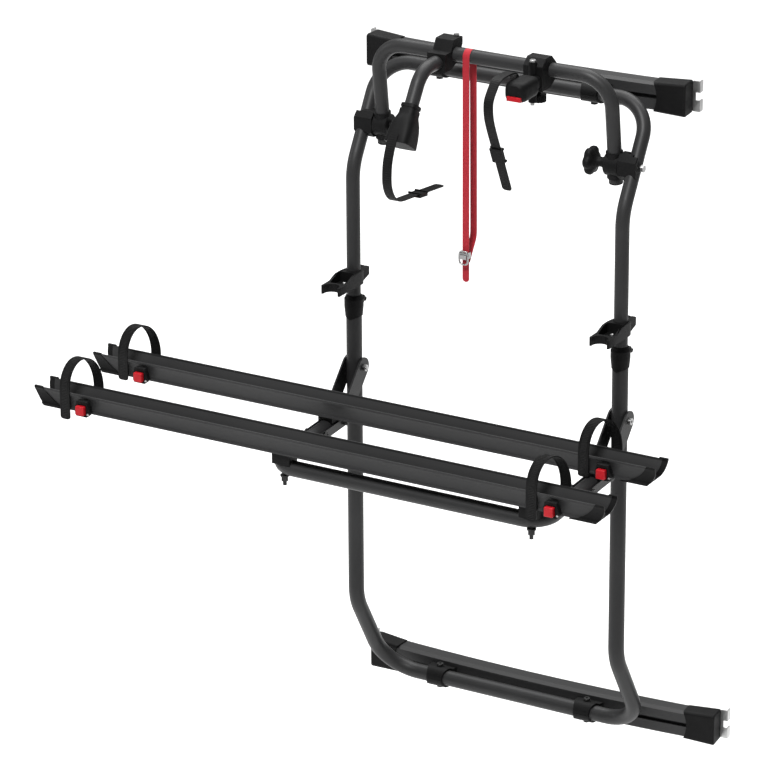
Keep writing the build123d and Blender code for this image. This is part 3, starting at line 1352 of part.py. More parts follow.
if __name__ == "__main__":
    os.makedirs("parts", exist_ok=True)
    lower_z = 0.0
    upper_z = bar_spacing
    save("lower_frame_tube", lower_frame_tube())
    save("upper_frame_tube", upper_frame_tube())
    save("lower_crossbar", crossbar(lower_bar_right, lower_z))
    save("upper_crossbar", crossbar(upper_bar_right, upper_z))
    for name, right, z, tube_d in (("lower", lower_bar_right, lower_z, lower_tube_d),
                                   ("upper", upper_bar_right, upper_z, upper_tube_d)):
        save(f"{name}_crossbar_caps", end_cap(bar_left, z), end_cap(right, z))
        save(f"{name}_door_hooks", door_hook(bar_left, z), door_hook(right, z))
        save(f"{name}_hook_screws", *hook_screws(bar_left, z), *hook_screws(right, z))
        save(f"{name}_saddle_clamps", *[saddle(tube_d, x, z, top)
                                        for x in (-saddle_x, saddle_x) for top in (True, False)])
        save(f"{name}_saddle_bolts", *saddle_bolt(tube_d, -saddle_x, z), *saddle_bolt(tube_d, saddle_x, z))
    for name, side in (("left", -1), ("right", 1)):
        save(f"collar_{name}", collar(side))
        save(f"platform_catch_{name}", catch(side))
        save(f"platform_arm_{name}", platform_arm(side))
        save(f"star_knob_{name}", star_knob(side))
    save("collar_screws", collar_screw(-1), collar_screw(1))
    save("catch_screws", *catch_screws(-1), *catch_screws(1))
    save("platform_pivot_bolts", pivot_bolt(-1), pivot_bolt(1))
    save("platform_arm_bolts", *arm_bolts(-1), *arm_bolts(1))
    save("platform_tube", platform_tube())
    for name, y in rail_ys.items():
        save(f"{name}_rail", rail(y))
        for end, far_x in strap_far_x.items():
            save(f"{name}_{end}_button", buckle_button(y, far_x))
    for end, far_x in strap_far_x.items():
        straps = [wheel_strap(y, far_x, strap_tails[name]) for name, y in rail_ys.items()]
        save(f"{end}_wheel_straps", *straps)
    save("rail_caps", *[rail_cap(y, side) for y in rail_ys.values() for side in (-1, 1)])
    save("strap_buckles", *[buckle(y, x) for y in rail_ys.values() for x in strap_far_x.values()])
    save("rail_spacers", *rail_spacers(-1), *rail_spacers(1))
    save("rail_studs", rail_stud(-1), rail_stud(1))
    save("loop_tube", loop_tube())
    save("loop_plugs", loop_plug(-1), loop_plug(1))
    save("loop_leg_clamps", leg_clamp(-1), leg_clamp(1))
    save("loop_frame_clamps", frame_clamp(-1), frame_clamp(1))
    save("loop_hinge_bolts", hinge_bolt(-1), hinge_bolt(1))
    save("long_arm_clamp", long_arm_clamp())
    save("long_arm_screw", long_arm_screw())
    save("long_arm_tube", long_arm_tube())
    save("long_arm_jaw", long_arm_jaw())
    save("long_arm_strap", long_arm_strap())
    save("short_arm_clamp", short_arm_clamp())
    save("short_arm_bolt", column_bolt())
    save("short_arm_knob", tension_knob())
    save("short_arm_jaw", short_arm_jaw())
    save("short_arm_button", short_arm_button())
    save("short_arm_strap", short_arm_strap())
    save("long_arm_keeper", strap_keeper(long_arm_x - long_strap_aside, long_strap_route(), 0.51,
                                         keeper_lengths["long"]))
    save("short_arm_keeper", strap_keeper(short_strap_x, short_strap_route(), 0.47,
                                          keeper_lengths["short"]))
    save("security_strap", security_strap())
    save("cam_buckle_frame", cam_frame())
    save("cam_buckle_lever", cam_lever())
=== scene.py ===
import math

import bmesh
import bpy
from mathutils import Matrix, Vector


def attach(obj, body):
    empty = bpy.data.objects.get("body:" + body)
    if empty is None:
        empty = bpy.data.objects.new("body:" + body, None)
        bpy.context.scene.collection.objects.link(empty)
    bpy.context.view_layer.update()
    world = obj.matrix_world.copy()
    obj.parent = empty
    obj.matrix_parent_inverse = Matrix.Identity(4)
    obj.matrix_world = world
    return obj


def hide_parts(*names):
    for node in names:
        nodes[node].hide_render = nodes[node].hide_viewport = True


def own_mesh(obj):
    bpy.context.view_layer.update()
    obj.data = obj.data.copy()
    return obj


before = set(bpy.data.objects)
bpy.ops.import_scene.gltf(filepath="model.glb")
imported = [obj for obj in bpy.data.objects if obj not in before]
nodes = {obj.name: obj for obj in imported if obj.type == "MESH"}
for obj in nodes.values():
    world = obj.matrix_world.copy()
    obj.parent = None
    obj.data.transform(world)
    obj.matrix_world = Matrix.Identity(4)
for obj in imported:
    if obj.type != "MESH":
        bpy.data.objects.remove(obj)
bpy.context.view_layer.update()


# Studio: the camera at the photograph's viewing angle, a pale floor and soft light from above.
# The lens is long, so the carrier shows almost no perspective. Angles are in radians.
camera_turn, camera_dip, camera_roll = 0.525898488, 0.371230874, -0.00610100413
camera_place = Vector((3.8424, -7.1948, 3.8382))
focal_length = 204.63
floor_size, floor_y, floor_z = 60.0, 20.0, -0.6
carrier_middle = (0, -0.2, 0.7)
backdrop_middle = (-1.6, 4.0, -0.6)

ahead = Vector((-math.sin(camera_turn) * math.cos(camera_dip), math.cos(camera_turn) * math.cos(camera_dip),
                -math.sin(camera_dip)))
level = Vector((math.cos(camera_turn), math.sin(camera_turn), 0.0))
above = level.cross(ahead)
right = math.cos(camera_roll) * level + math.sin(camera_roll) * above
top = math.cos(camera_roll) * above - math.sin(camera_roll) * level
lens = bpy.data.cameras.new("camera")
lens.lens = focal_length
lens.sensor_width = 36.0
lens.clip_end = 100.0
camera = bpy.data.objects.new("camera", lens)
camera.matrix_world = Matrix((
    (right.x, top.x, -ahead.x, camera_place.x),
    (right.y, top.y, -ahead.y, camera_place.y),
    (right.z, top.z, -ahead.z, camera_place.z),
    (0, 0, 0, 1)))
bpy.context.scene.collection.objects.link(camera)
bpy.context.scene.camera = camera

ground = bmesh.new()
bmesh.ops.create_grid(ground, x_segments=1, y_segments=1, size=floor_size)
bmesh.ops.translate(ground, vec=(0, floor_y, floor_z), verts=ground.verts)
floor_mesh = bpy.data.meshes.new("floor")
ground.to_mesh(floor_mesh)
ground.free()
floor = bpy.data.objects.new("floor", floor_mesh)
bpy.context.scene.collection.objects.link(floor)
pale = bpy.data.materials.new("pale_floor")
pale.use_nodes = True
pale_shader = pale.node_tree.nodes["Principled BSDF"]
pale_shader.inputs["Base Color"].default_value = (0.93, 0.93, 0.93, 1)
pale_shader.inputs["Roughness"].default_value = 0.95
pale_shader.inputs["Specular IOR Level"].default_value = 0.0
floor_mesh.materials.append(pale)

sky = bpy.data.worlds.new("studio")
sky.use_nodes = True
sky.node_tree.nodes["Background"].inputs["Color"].default_value = (1, 1, 1, 1)
sky.node_tree.nodes["Background"].inputs["Strength"].default_value = 0.22
bpy.context.scene.world = sky
bpy.context.scene.view_settings.view_transform = "Standard"


def softbox(name, place, aim, size, power):
    """A square area light that points at a spot on the carrier."""
    lamp = bpy.data.lights.new(name, "AREA")
    lamp.size = size
    lamp.energy = power
    holder = bpy.data.objects.new(name, lamp)
    holder.location = place
    holder.rotation_euler = (Vector(aim) - Vector(place)).to_track_quat("-Z", "Y").to_euler()
    bpy.context.scene.collection.objects.link(holder)


softbox("key_light", (0.6, -4.4, 6.6), carrier_middle, size=2.0, power=560)
softbox("top_light", (-1.2, 3.6, 7.0), backdrop_middle, size=7.0, power=850)
softbox("fill_light", (-4.6, -2.0, 2.4), carrier_middle, size=2.0, power=40)


# Frame tubes: round aluminium tube, bent cold and powder coated in dark anthracite.
# The upper frame slides inside the lower one, and the platform and the loop are bent from the same tube.
def new_finish(name, colour, roughness, metallic=0.0, gloss=0.25):
    """A material whose uniform values sit on its own shader."""
    finish = bpy.data.materials.new(name)
    finish.use_nodes = True
    shader = finish.node_tree.nodes["Principled BSDF"]
    shader.inputs["Base Color"].default_value = (*colour, 1)
    shader.inputs["Roughness"].default_value = roughness
    shader.inputs["Metallic"].default_value = metallic
    shader.inputs["Specular IOR Level"].default_value = gloss
    return finish, shader


def mottle(finish, shader, scale, dark, light):
    """Slow variation of colour over a surface."""
    tree = finish.node_tree
    place = tree.nodes.new("ShaderNodeTexCoord")
    noise = tree.nodes.new("ShaderNodeTexNoise")
    noise.inputs["Scale"].default_value = scale
    noise.inputs["Detail"].default_value = 4
    ramp = tree.nodes.new("ShaderNodeValToRGB")
    ramp.color_ramp.elements[0].position = 0.3
    ramp.color_ramp.elements[0].color = (*dark, 1)
    ramp.color_ramp.elements[1].position = 0.72
    ramp.color_ramp.elements[1].color = (*light, 1)
    tree.links.new(place.outputs["Object"], noise.inputs["Vector"])
    tree.links.new(noise.outputs["Fac"], ramp.inputs["Fac"])
    tree.links.new(ramp.outputs["Color"], shader.inputs["Base Color"])


def grain(finish, shader, scale, depth, stretch=(1, 1, 1)):
    """Fine relief from the coating, the mould or the brush."""
    tree = finish.node_tree
    place = tree.nodes.new("ShaderNodeTexCoord")
    shape = tree.nodes.new("ShaderNodeMapping")
    shape.inputs["Scale"].default_value = stretch
    noise = tree.nodes.new("ShaderNodeTexNoise")
    noise.inputs["Scale"].default_value = scale
    noise.inputs["Detail"].default_value = 3
    relief = tree.nodes.new("ShaderNodeBump")
    relief.inputs["Strength"].default_value = 0.6
    relief.inputs["Distance"].default_value = depth
    tree.links.new(place.outputs["Object"], shape.inputs["Vector"])
    tree.links.new(shape.outputs["Vector"], noise.inputs["Vector"])
    tree.links.new(noise.outputs["Fac"], relief.inputs["Height"])
    tree.links.new(relief.outputs["Normal"], shader.inputs["Normal"])


def dress(finish, *names):
    """Gives carried-over pieces their finish."""
    for name in names:
        if not nodes[name].material_slots:
            nodes[name].data.materials.append(finish)
        for place in nodes[name].material_slots:
            place.material = finish


tube_coat, tube_shader = new_finish("anthracite_coat", (0.021, 0.021, 0.0215), 0.45)
mottle(tube_coat, tube_shader, 7, (0.018, 0.018, 0.0185), (0.024, 0.024, 0.0245))
grain(tube_coat, tube_shader, 900, 0.00012)
dress(tube_coat, "lower_frame_tube", "upper_frame_tube", "platform_tube", "loop_tube", "long_arm_tube")


# Crossbars and wheel rails: extruded aluminium, with the fine lines of the die along them,
# matt coated in the same anthracite.
bar_coat, bar_shader = new_finish("extrusion_coat", (0.024, 0.024, 0.0245), 0.5)
mottle(bar_coat, bar_shader, 4, (0.021, 0.021, 0.0215), (0.027, 0.027, 0.0275))
grain(bar_coat, bar_shader, 500, 0.00015, (0.02, 1, 1))
dress(bar_coat, "lower_crossbar", "upper_crossbar", "front_rail", "rear_rail")


# Black mouldings: glass-filled nylon with a fine spark-eroded grain.
# Caps, clamps, catches, collars, knobs, jaws and buckle housings are moulded from it.
nylon, nylon_shader = new_finish("black_nylon", (0.0045, 0.0045, 0.0046), 0.55, gloss=0.12)
mottle(nylon, nylon_shader, 30, (0.0035, 0.0035, 0.0036), (0.0058, 0.0058, 0.006))
grain(nylon, nylon_shader, 1400, 0.0003)
dress(nylon, "lower_crossbar_caps", "upper_crossbar_caps", "lower_saddle_clamps", "upper_saddle_clamps",
      "collar_left", "collar_right", "platform_catch_left", "platform_catch_right", "rail_caps", "rail_spacers",
      "strap_buckles", "loop_plugs", "loop_leg_clamps", "loop_frame_clamps", "star_knob_left", "star_knob_right",
      "long_arm_clamp", "long_arm_jaw", "long_arm_keeper", "short_arm_clamp", "short_arm_jaw", "short_arm_keeper",
      "short_arm_knob")


# Wheel straps: flexible black plastic bands that arch over the rail from the far flank to the near one.
# Fine ratchet teeth run across the middle of each band, and its loose end is rounded.
rail_y = {"front": -0.4884, "rear": -0.2767}
strap_far_x = {"left": -0.7240, "right": 0.3315}
strap_width, strap_thickness = 0.0230, 0.0022
strap_half_span = 0.0294
strap_springs_z, strap_rise, strap_skew = 0.678, 0.065, 0.044
strap_foot_z, strap_edge_z = 0.640, 0.668
strap_tail_z = {"front": 0.616, "rear": 0.628}
toothed_half_width = 0.0062


def toothed_band(name, pitch, depth, colour):
    """Flexible plastic with ratchet teeth along the band's own UV map, which is in metres."""
    finish, shader = new_finish(name, colour, 0.5, gloss=0.14)
    tree = finish.node_tree
    place = tree.nodes.new("ShaderNodeUVMap")
    place.uv_map = "band"
    split = tree.nodes.new("ShaderNodeSeparateXYZ")
    count = tree.nodes.new("ShaderNodeMath")
    count.operation = "MULTIPLY"
    count.inputs[1].default_value = 2 * math.pi / pitch
    tooth = tree.nodes.new("ShaderNodeMath")
    tooth.operation = "SINE"
    side = tree.nodes.new("ShaderNodeMath")
    side.operation = "ABSOLUTE"
    middle = tree.nodes.new("ShaderNodeMath")
    middle.operation = "LESS_THAN"
    middle.inputs[1].default_value = toothed_half_width
    height = tree.nodes.new("ShaderNodeMath")
    height.operation = "MULTIPLY"
    relief = tree.nodes.new("ShaderNodeBump")
    relief.inputs["Strength"].default_value = 0.8
    relief.inputs["Distance"].default_value = depth
    tree.links.new(place.outputs["UV"], split.inputs["Vector"])
    tree.links.new(split.outputs["Y"], count.inputs[0])
    tree.links.new(count.outputs[0], tooth.inputs[0])
    tree.links.new(split.outputs["X"], side.inputs[0])
    tree.links.new(side.outputs[0], middle.inputs[0])
    tree.links.new(tooth.outputs[0], height.inputs[0])
    tree.links.new(middle.outputs[0], height.inputs[1])
    tree.links.new(height.outputs[0], relief.inputs["Height"])
    tree.links.new(relief.outputs["Normal"], shader.inputs["Normal"])
    mottle(finish, shader, 40, tuple(0.75 * v for v in colour), tuple(1.3 * v for v in colour))
    return finish


def smooth_route(points, steps=10, spacing=0.0012):
    """Evenly spaced points along one smooth curve that follows the given ones."""
    curve = bpy.data.curves.new("route", "CURVE")
    curve.dimensions = "3D"
    curve.resolution_u = steps
    line = curve.splines.new("NURBS")
    line.points.add(len(points) - 1)
    for place, point in zip(line.points, points):
        place.co = (*point, 1)
    line.order_u = 3
    line.use_endpoint_u = True
    holder = bpy.data.objects.new("route", curve)
    drawn = bpy.data.meshes.new_from_object(holder)
    route = [v.co.copy() for v in drawn.vertices]
    bpy.data.objects.remove(holder)
    bpy.data.curves.remove(curve)
    bpy.data.meshes.remove(drawn)
    even = route[:1]
    for start, end in zip(route, route[1:]):
        parts = max(1, round((end - start).length / spacing))
        even += [start.lerp(end, (i + 1) / parts) for i in range(parts)]
    return even


def lay_band(work, route, width, thickness, corner=0.006, round_start=False, round_end=True):
    """Adds a flat band along a route, as wide as width along X, with its UV map in metres."""
    uv = work.loops.layers.uv.get("band") or work.loops.layers.uv.new("band")
    far = work.verts.layers.float.get("far") or work.verts.layers.float.new("far")
    aside = work.verts.layers.float.get("aside") or work.verts.layers.float.new("aside")
    line = []
    run = 0.0
    for i, point in enumerate(route):
        run += (point - route[i - 1]).length if i else 0.0
        vert = work.verts.new(point)
        vert[far] = run
        line.append(vert)
    edges = [work.edges.new(pair) for pair in zip(line, line[1:])]
    grown = bmesh.ops.extrude_edge_only(work, edges=edges)["geom"]
    other = [v for v in grown if isinstance(v, bmesh.types.BMVert)]
    for verts, side in ((line, -1), (other, 1)):
        for vert in verts:
            to_end = run - vert[far] if round_end else corner
            to_start = vert[far] if round_start else corner
            short = corner - min(to_end, to_start, corner)
            vert[aside] = side * (width / 2 - corner + math.sqrt(max(corner ** 2 - short ** 2, 1e-8)))
            vert.co.x += vert[aside]
    faces = [f for f in grown if isinstance(f, bmesh.types.BMFace)]
    bmesh.ops.recalc_face_normals(work, faces=faces)
    for face in faces:
        for loop in face.loops:
            loop[uv].uv = (loop.vert[aside], loop.vert[far])
    bmesh.ops.solidify(work, geom=faces, thickness=thickness)


def make_piece(name, work, finish, body, *stands_for, smooth=35):
    """Turns finished mesh work into a piece of the carrier."""
    bmesh.ops.recalc_face_normals(work, faces=work.faces)
    mesh = bpy.data.meshes.new(name)
    work.to_mesh(mesh)
    work.free()
    for face in mesh.polygons:
        face.use_smooth = True
    mesh.set_sharp_from_angle(angle=math.radians(smooth))
    mesh.materials.append(finish)
    piece = bpy.data.objects.new(name, mesh)
    bpy.context.scene.collection.objects.link(piece)
    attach(piece, body)
    if stands_for:
        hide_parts(*stands_for)
    return piece


def wheel_strap_route(far_x, middle_y, tail_z):
    """From the far flank up over the wheel's space and down past the near flank."""
    near_x = far_x - strap_skew
    far_y, near_y = middle_y + strap_half_span, middle_y - strap_half_span
    points = [(far_x, far_y, strap_foot_z), (far_x, far_y, strap_edge_z)]
    steps = 8
    for i in range(steps):
        angle = math.pi * (i + 0.5) / steps
        reach = 1 / math.cos(math.pi / steps / 2)
        share = (1 - math.cos(angle)) / 2
        points.append((far_x - strap_skew * share, middle_y + strap_half_span * reach * math.cos(angle),
                       strap_springs_z + strap_rise * reach * math.sin(angle)))
    points += [(near_x, near_y, strap_edge_z), (near_x, near_y, tail_z)]
    return smooth_route(points)


ratchet_band = toothed_band("ratchet_band", 0.0034, 0.0004, (0.0045, 0.0045, 0.0046))
for side, far_x in strap_far_x.items():
    work = bmesh.new()
    for end, middle_y in rail_y.items():
        lay_band(work, wheel_strap_route(far_x, middle_y, strap_tail_z[end]), strap_width, strap_thickness)
    straps = make_piece(f"{side}_ratchet_straps", work, ratchet_band, "platform", f"{side}_wheel_straps")
    if side == "right":
        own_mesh(straps)


# Holder straps: the same flexible plastic with coarser, shallow teeth, hanging from the jaws of the two arms
# with their loose ends free. Places are forward of and below the loop's top bar.
bar_y, bar_z = -0.149026, 1.380
holder_strap_width, holder_strap_thickness = 0.0200, 0.0024
holder_band = toothed_band("holder_band", 0.0046, 0.00015, (0.0045, 0.0045, 0.0046))
for name, x, hang in (
        ("long", -0.104, [(0.2007, 0.1081), (0.2105, 0.1232), (0.2200, 0.1440), (0.2262, 0.1620), (0.2285, 0.1850),
                          (0.2278, 0.2060), (0.2180, 0.2280), (0.2010, 0.2440), (0.1800, 0.2490), (0.1500, 0.2515),
                          (0.0190, 0.2660)]),
        ("short", 0.093, [(0.0760, 0.0060), (0.0840, -0.0110), (0.1000, -0.0175), (0.1200, -0.0185),
                          (0.1380, -0.0188), (0.1560, -0.0165), (0.1720, 0.0000), (0.1860, 0.0170),
                          (0.1870, 0.0380), (0.1820, 0.0620), (0.1600, 0.1087), (0.1090, 0.2170)])):
    work = bmesh.new()
    route = smooth_route([(x, bar_y - forward, bar_z - drop) for forward, drop in hang])
    lay_band(work, route, holder_strap_width, holder_strap_thickness)
    strap = make_piece(f"{name}_holder_strap", work, holder_band, f"{name}_arm", f"{name}_arm_strap")


# Platform arms: steel sheet folded round the uprights and the legs of the platform's tube, and coated black.
# Each turns on one bolt through its upright and is held to its leg by two.
arm_coat, arm_shader = new_finish("black_coated_steel", (0.009, 0.009, 0.0094), 0.4)
mottle(arm_coat, arm_shader, 12, (0.007, 0.007, 0.0073), (0.012, 0.012, 0.0124))
grain(arm_coat, arm_shader, 800, 0.0002)
dress(arm_coat, "platform_arm_left", "platform_arm_right")


# Door hooks and fasteners: forks cut and bent from brushed stainless plate and screwed to the crossbars' slots,
# with the screws and bolts that stay bright. The bolts of saddles, collars, arms and rails are blackened.
steel, steel_shader = new_finish("brushed_stainless", (0.42, 0.42, 0.415), 0.36, 1.0)
mottle(steel, steel_shader, 60, (0.35, 0.35, 0.35), (0.50, 0.50, 0.495))
grain(steel, steel_shader, 700, 0.0002, (1, 1, 0.08))
dress(steel, "lower_door_hooks", "upper_door_hooks", "cam_buckle_frame", "cam_buckle_lever", "lower_hook_screws",
      "upper_hook_screws", "platform_pivot_bolts", "short_arm_bolt", "long_arm_screw", "catch_screws",
      "loop_hinge_bolts")
oxide, oxide_shader = new_finish("black_oxide", (0.03, 0.03, 0.03), 0.4, 0.6)
mottle(oxide, oxide_shader, 80, (0.02, 0.02, 0.02), (0.04, 0.04, 0.04))
dress(oxide, "lower_saddle_bolts", "upper_saddle_bolts", "collar_screws", "platform_arm_bolts", "rail_studs")


# Release buttons: red moulded plastic, pressed to let a strap go. The short arm's button is dressed here,
# and the wheel straps' push buttons are made with their housings.
red, red_shader = new_finish("red_moulding", (0.40, 0.006, 0.012), 0.42)
mottle(red, red_shader, 50, (0.35, 0.005, 0.010), (0.45, 0.008, 0.015))
grain(red, red_shader, 1200, 0.0001)
dress(red, "short_arm_button")


# Security strap: red polyester webbing, laid over the loop's top bar, both runs hanging down into the cam buckle.
# The weave follows the band, and the loose end below the buckle is rounded.
def woven_band(name, dark, light, across, along):
    """Webbing whose ribs follow the band's own UV map, which is in metres."""
    finish, shader = new_finish(name, light, 0.7)
    shader.inputs["Sheen Weight"].default_value = 0.25
    shader.inputs["Sheen Roughness"].default_value = 0.5
    tree = finish.node_tree
    place = tree.nodes.new("ShaderNodeUVMap")
    place.uv_map = "band"
    split = tree.nodes.new("ShaderNodeSeparateXYZ")
    tree.links.new(place.outputs["UV"], split.inputs["Vector"])
    waves = []
    for output, pitch in (("X", across), ("Y", along)):
        count = tree.nodes.new("ShaderNodeMath")
        count.operation = "MULTIPLY"
        count.inputs[1].default_value = 2 * math.pi / pitch
        wave = tree.nodes.new("ShaderNodeMath")
        wave.operation = "SINE"
        tree.links.new(split.outputs[output], count.inputs[0])
        tree.links.new(count.outputs[0], wave.inputs[0])
        waves.append(wave)
    weave = tree.nodes.new("ShaderNodeMath")
    weave.operation = "MULTIPLY"
    tree.links.new(waves[0].outputs[0], weave.inputs[0])
    tree.links.new(waves[1].outputs[0], weave.inputs[1])
    ramp = tree.nodes.new("ShaderNodeMapRange")
    ramp.inputs["From Min"].default_value = -1
    tree.links.new(weave.outputs[0], ramp.inputs["Value"])
    colours = tree.nodes.new("ShaderNodeValToRGB")
    colours.color_ramp.elements[0].color = (*dark, 1)
    colours.color_ramp.elements[1].color = (*light, 1)
    tree.links.new(ramp.outputs["Result"], colours.inputs["Fac"])
    tree.links.new(colours.outputs["Color"], shader.inputs["Base Color"])
    relief = tree.nodes.new("ShaderNodeBump")
    relief.inputs["Strength"].default_value = 0.5
    relief.inputs["Distance"].default_value = 0.0003
    tree.links.new(ramp.outputs["Result"], relief.inputs["Height"])
    tree.links.new(relief.outputs["Normal"], shader.inputs["Normal"])
    return finish


webbing = woven_band("red_webbing", (0.26, 0.004, 0.012), (0.43, 0.008, 0.020), 0.0015, 0.0021)
webbing_x, webbing_width, webbing_thickness = -0.0495, 0.0145, 0.0014
hang = [(0.015, 0.458), (0.015, 0.2), (0.015, 0.0186), (0.015, 0.0062), (0.015, -0.0062), (0.0062, -0.015),
        (-0.0062, -0.015), (-0.015, -0.0062), (-0.015, 0.0062), (-0.0152, 0.03), (-0.017, 0.2), (-0.0178, 0.345),
        (-0.018, 0.369), (-0.012, 0.382), (-0.006, 0.390), (0.002, 0.403), (0.0104, 0.417)]
work = bmesh.new()
route = smooth_route([(webbing_x, bar_y - forward, bar_z - drop) for forward, drop in hang])
lay_band(work, route, webbing_width, webbing_thickness, corner=0.0072, round_start=True, round_end=False)
strap = make_piece("red_strap", work, webbing, "security_strap", "security_strap")


# Ratchet housings: nylon mouldings on the near flank of each rail, each with a pocket for its red push button
# and a bright screw beside it.
housing_x, housing_y, housing_z = 0.0030, -0.0283, 0.6490
housing_depth, pocket_depth = 0.0110, 0.0072
button_size = (0.0190, 0.0112, 0.0190)
button_x, button_y, button_z = 0.0018, -0.0418, 0.6473
boss_size, boss_y, boss_z = (0.026, 0.0056, 0.012), 0.0026, -0.002
housing_screw_x, housing_screw_y, housing_screw_z = 0.0143, -0.0114, -0.0085
housing_screw_base, housing_screw_face, housing_screw_height = 0.0024, 0.0019, 0.0016


def loop_of(work, points):
    """A closed loop of edges through a few corner points."""
    verts = [work.verts.new(point) for point in points]
    return [work.edges.new((verts[i - 1], verts[i])) for i in range(len(verts))]


def block(work, size, place):
    """A plain block."""
    verts = bmesh.ops.create_cube(work, size=1.0)["verts"]
    bmesh.ops.scale(work, vec=size, verts=verts)
    bmesh.ops.translate(work, vec=place, verts=verts)


def housing(work, x, y, z):
    """One housing, its back at y, from the outlines of its shell and its pocket, and its boss on the rail."""
    outline = [(-0.014, -0.016), (0.011, -0.016), (0.0165, -0.011), (0.0170, 0.001), (0.0135, 0.0075),
               (0.0120, 0.0155), (0.0105, 0.017), (-0.0115, 0.017), (-0.0135, 0.0155), (-0.0145, 0.0085),
               (-0.0170, 0.004), (-0.0170, -0.012)]
    pocket = [(0.0090, 0.0085), (-0.0114, 0.0085), (-0.0114, -0.0119), (0.0090, -0.0119)]
    front = y - housing_depth
    rim_edges = loop_of(work, [(x + u, front, z + v) for u, v in outline])
    mouth_edges = loop_of(work, [(x + u, front, z + v) for u, v in pocket])
    bmesh.ops.bridge_loops(work, edges=rim_edges + mouth_edges)
    for edges, depth in ((rim_edges, housing_depth), (mouth_edges, pocket_depth)):
        grown = bmesh.ops.extrude_edge_only(work, edges=edges)["geom"]
        bmesh.ops.translate(work, vec=(0, depth, 0), verts=[g for g in grown if isinstance(g, bmesh.types.BMVert)])
        bmesh.ops.holes_fill(work, edges=[g for g in grown if isinstance(g, bmesh.types.BMEdge) and g.is_boundary])
    block(work, boss_size, (x, y + boss_y, z + boss_z))


def round_edges(piece, width, segments=3):
    """Rounds the sharp edges of a moulding."""
    edge = piece.modifiers.new("edge_rounding", "BEVEL")
    edge.width = width
    edge.segments = segments
    edge.limit_method = "ANGLE"
    edge.angle_limit = math.radians(35)
    edge.harden_normals = False


work = bmesh.new()
screws = bmesh.new()
for middle_y in rail_y.values():
    for far_x in strap_far_x.values():
        x, y, z = far_x + housing_x, middle_y + housing_y, housing_z
        housing(work, x, y, z)
        head = bmesh.ops.create_cone(screws, cap_ends=True, segments=24, radius1=housing_screw_base,
                                     radius2=housing_screw_face, depth=housing_screw_height)["verts"]
        bmesh.ops.rotate(screws, verts=head, cent=(0, 0, 0), matrix=Matrix.Rotation(math.pi / 2, 3, "X"))
        place = (x + housing_screw_x, y + housing_screw_y, z + housing_screw_z)
        bmesh.ops.translate(screws, vec=place, verts=head)
for end, middle_y in rail_y.items():
    for side, far_x in strap_far_x.items():
        key = bmesh.new()
        block(key, button_size, (far_x + button_x, middle_y + button_y, button_z))
        button = make_piece(f"{end}_{side}_push_button", key, red, f"{end}_{side}_button", f"{end}_{side}_button")
        round_edges(button, 0.0016)
housings = make_piece("ratchet_housings", work, nylon, "platform", "strap_buckles")
round_edges(housings, 0.0012)
housing_screws = make_piece("ratchet_screws", screws, steel, "platform")


# Platform catches: nylon forks clamped round the upper frame's tubes, with thick rims round a pocket
# where two bright screws sit, and a split lug behind. The folded platform's legs clip between the prongs.
upright_x, upright_y = 0.2981, -0.1745
fork_base_z, pocket_floor = 0.8830, 0.0065
notch_r, notch_y, fork_bore_r = 0.0164, -0.0885, 0.0143
fork_roof = [(-0.060, 0.017), (-0.036, 0.026), (-0.014, 0.026), (0.044, 0.0205)]
fork_under = [(-0.060, 0.0), (-0.019, -0.003), (0.020, -0.003), (0.044, 0.006)]
catch_screw_y = (-0.2285, -0.2125)
catch_head_base, catch_head_face, catch_head_height = 0.0042, 0.0036, 0.0024
socket_rim, socket_depth = 0.0018, 0.0012


def height_at(y, line):
    """Height at y along a line of (y, z) points."""
    for (y0, z0), (y1, z1) in zip(line, line[1:]):
        if y <= y1:
            return z0 + (z1 - z0) * max(0.0, (y - y0) / (y1 - y0))
    return line[-1][1]


def catch(name, x):
    """The fork grown from its plan: the outline round notch, tube and slit, and the pocket between."""
    work = bmesh.new()
    half = [(0.0010, 0.0440), (0.0090, 0.0440), (0.0120, 0.0410), (0.0120, 0.0151), (0.0168, 0.0095),
            (0.0190, 0.0035), (0.0196, -0.0060), (0.0204, -0.0190), (0.0210, -0.0380), (0.0215, -0.0500),
            (0.0215, -0.0600), (0.0215, -0.0905), (0.0200, -0.0930), (0.0172, -0.0930), (0.0164, -0.0915)]
    for i in range(9):
        angle = math.pi / 2 * i / 8
        half.append((notch_r * math.cos(angle), notch_r * math.sin(angle) + notch_y))
    outline = half + [(-u, v) for u, v in reversed(half[:-1])]
    for angle in range(4, 361, 8):
        outline.append((-fork_bore_r * math.sin(math.radians(angle)), fork_bore_r * math.cos(math.radians(angle))))
    pocket = [(0.0140, -0.0235), (0.0160, -0.0260), (0.0166, -0.0380), (0.0170, -0.0600), (0.0150, -0.0665),
              (0.0110, -0.0680), (0.0050, -0.0668), (0.0, -0.0664)]
    pocket += [(-u, v) for u, v in reversed(pocket[:-1])]
    loops = []
    for points in (outline, pocket):
        loops.append(loop_of(work, [(x + u, upright_y + v, fork_base_z + height_at(v, fork_roof)) for u, v in points]))
    bmesh.ops.triangle_fill(work, use_beauty=True, use_dissolve=False, edges=loops[0] + loops[1])
    for edges, under in zip(loops, (fork_under, [(0.0, pocket_floor)])):
        grown = bmesh.ops.extrude_edge_only(work, edges=edges)["geom"]
        for vert in (g for g in grown if isinstance(g, bmesh.types.BMVert)):
            vert.co.z = fork_base_z + height_at(vert.co.y - upright_y, under)
        ends = [g for g in grown if isinstance(g, bmesh.types.BMEdge) and g.is_boundary]
        bmesh.ops.triangle_fill(work, use_beauty=True, use_dissolve=False, edges=ends)
    piece = make_piece(name, work, nylon, "upper_frame", name.replace("_fork", ""))
    round_edges(piece, 0.0009, 2)


